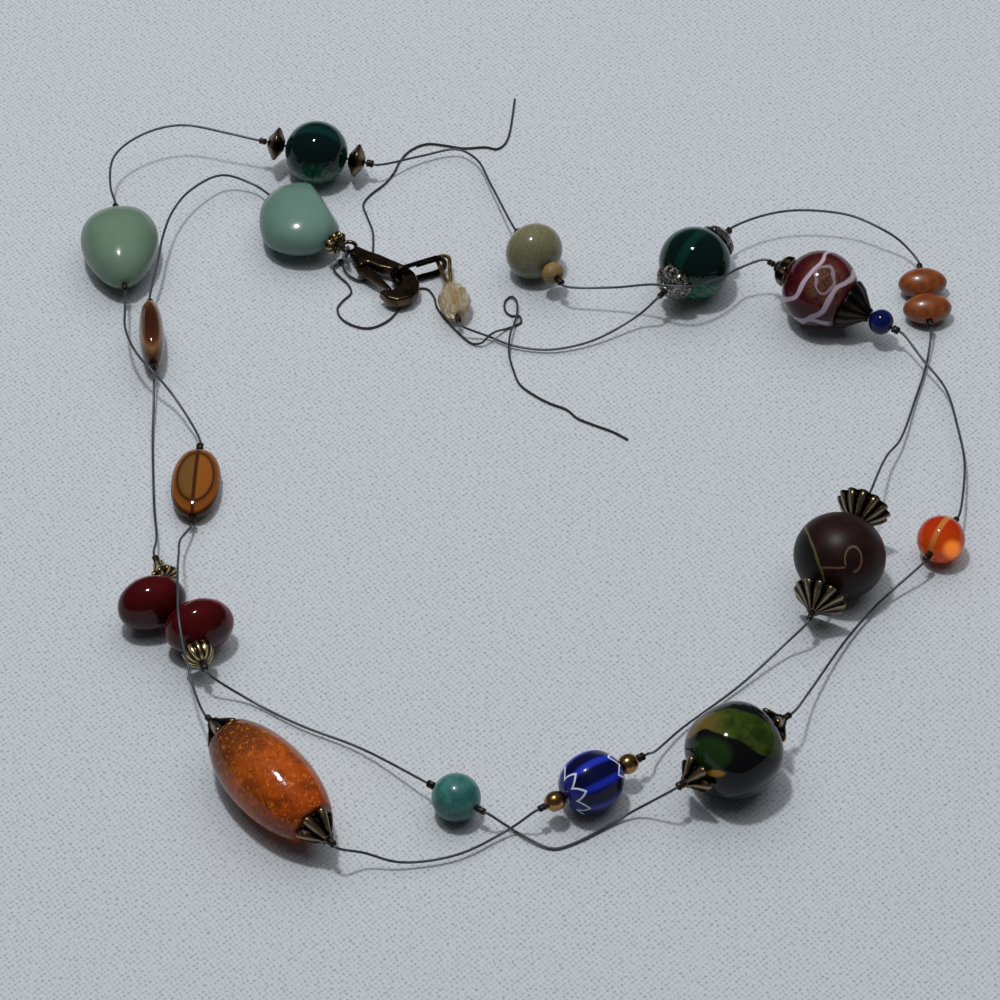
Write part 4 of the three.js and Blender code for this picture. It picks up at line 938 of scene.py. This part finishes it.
# Orange discs.
# Two waxy orange-brown stone discs, each drilled through its edge, lie flat side by side.
wax = Paint("wax", roughness=0.34)
wax.put("Base Color", wax.mottle((100, 48, 17), (132, 70, 27), 0.6, 3))
wax.glow(0.35, 0.003, 0.0015, 0.0008)
wax.gloss(0.5, 0.3, 0.15)
for node in ("orange_disc", "orange_disc_2"):
    dress(turned(node + "_stone", bead_profile(6.4, 9.2, 1.7, rings=18), heading_of("discs", node), 5.6 / 9.2), wax,
          "orange_stone", node)


# Crystal bead.
# A long cut bead of champagne crystal; its flat facets are ground, so nothing on it is smoothed.
crystal = Paint("crystal", roughness=0.02)
crystal.put("Base Color", crystal.mottle((204, 176, 122), (240, 230, 206), 0.6, 2))
polished(crystal, 0.75, 1.6)
dress(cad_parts["crystal_bead"], crystal, "champagne_crystal")


# Clasp with its lever.
# A cast bronze lobster clasp; its lever turns on a pin and closes the mouth against the hook's tip.
# The cast edges are soft, so the solids are remade with fine even faces and relaxed.
clasp_metal = Paint("clasp_bronze", metallic=1.0, roughness=0.24)
clasp_metal.put("Base Color", clasp_metal.mottle((58, 46, 36), (112, 94, 74), 0.5, 4, 0.6))
clasp_metal.bump(clasp_metal.noise(1.5, 3), 0.1, 0.0001)


def cast(piece, grain, rounds):
    even = piece.modifiers.new("even_faces", "REMESH")
    even.mode = "VOXEL"
    even.voxel_size = grain / 1000
    even.use_smooth_shade = True
    relax = piece.modifiers.new("relax", "SMOOTH")
    relax.factor = 0.5
    relax.iterations = rounds


for node, body in (("clasp_hook", "string"), ("clasp_lever", "lever")):
    cast(dress(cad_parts[node], clasp_metal, "clasp_metal", body=body), 0.13, 12)


# Link.
# A split ring of dark bronze wire, drawn out long, stands on edge between the clasp's mouth and the gold loop.
LINK = {"long": 11.3, "tall": 4.9, "stock": 0.9, "heading": 22}
link_place = Matrix.Translation(middle("clasp_link")) @ Matrix.Rotation(math.radians(LINK["heading"]), 4, "Z")


def racetrack(long, tall, share):
    """A place on a long ring's middle line, share of the way round."""
    radius = tall / 2
    straight = long - tall
    length = 2 * straight + 2 * math.pi * radius
    walk = (share % 1) * length
    if walk < straight:
        return Vector((walk - straight / 2, 0, radius))
    walk -= straight
    if walk < math.pi * radius:
        turn = math.pi / 2 - walk / radius
        return Vector((straight / 2 + radius * math.cos(turn), 0, radius * math.sin(turn)))
    walk -= math.pi * radius
    if walk < straight:
        return Vector((straight / 2 - walk, 0, -radius))
    turn = -math.pi / 2 - (walk - straight) / radius
    return Vector((-straight / 2 + radius * math.cos(turn), 0, radius * math.sin(turn)))


link_metal = metal("link_bronze", (66, 58, 50), (18, 16, 15), 0.28)
turns, steps = 1.9, 150  # the ring's wire laps itself for most of a second turn
split = []
for step in range(steps + 1):
    share = step / steps
    spot = racetrack(LINK["long"] - LINK["stock"], LINK["tall"] - LINK["stock"], 0.1 + turns * share)
    spot.y = LINK["stock"] * (share - 0.5) * 0.95
    split.append(link_place @ (spot / 1000))
dress(strand("link_ring", split, LINK["stock"]), link_metal, "bronze_metal", "clasp_link")


# Gold loop.
# Fine gold wire is wound round the string's last loop, from the crystal to the link and back.
GOLD_LOOP = {"long": 8.1, "wide": 3.5, "stock": 0.8, "winding": 0.24, "pitch": 0.3}
loop_middle = GROUPS["crystal"][3] + (GOLD_LOOP["long"] - GOLD_LOOP["stock"]) / 2
loop_place = place_of("crystal") @ Matrix.Translation((loop_middle / 1000, 0, 0))
core_long, core_wide = GOLD_LOOP["long"] - GOLD_LOOP["stock"], GOLD_LOOP["wide"] - GOLD_LOOP["stock"]
round_loop = 2 * (core_long - core_wide) + math.pi * core_wide
windings = round(round_loop / GOLD_LOOP["pitch"])
steps_each = 10


def drop(spot):
    """The loop narrows towards the crystal."""
    return Vector((spot.x, spot.y, spot.z * (0.62 + 0.38 * spot.x / (core_long / 2))))


winding = []
for step in range(windings * steps_each + 1):
    share = step / (windings * steps_each)
    spot, ahead = (drop(racetrack(core_long, core_wide, part)) for part in (share, share + 0.002))
    along = (ahead - spot).normalized()
    out = along.cross(Vector((0, 1, 0)))
    turn = 2 * math.pi * windings * share
    reach = (GOLD_LOOP["stock"] - GOLD_LOOP["winding"]) / 2
    spot = spot + out * (reach * math.cos(turn)) + Vector((0, 1, 0)) * (reach * math.sin(turn))
    winding.append(loop_place @ (Vector((spot.x, spot.z, spot.y)) / 1000))
gold_wire = metal("gold_wire", (202, 170, 96), (120, 92, 44), 0.24)
dress(strand("gold_winding", winding, GOLD_LOOP["winding"]), gold_wire, "gold_metal")
core = [loop_place @ (Vector((spot.x, spot.z, spot.y)) / 1000)
        for spot in (drop(racetrack(core_long, core_wide, step / 48)) for step in range(49))]
dress(strand("gold_loop_core", core, WIRE), coated, "coated_wire")
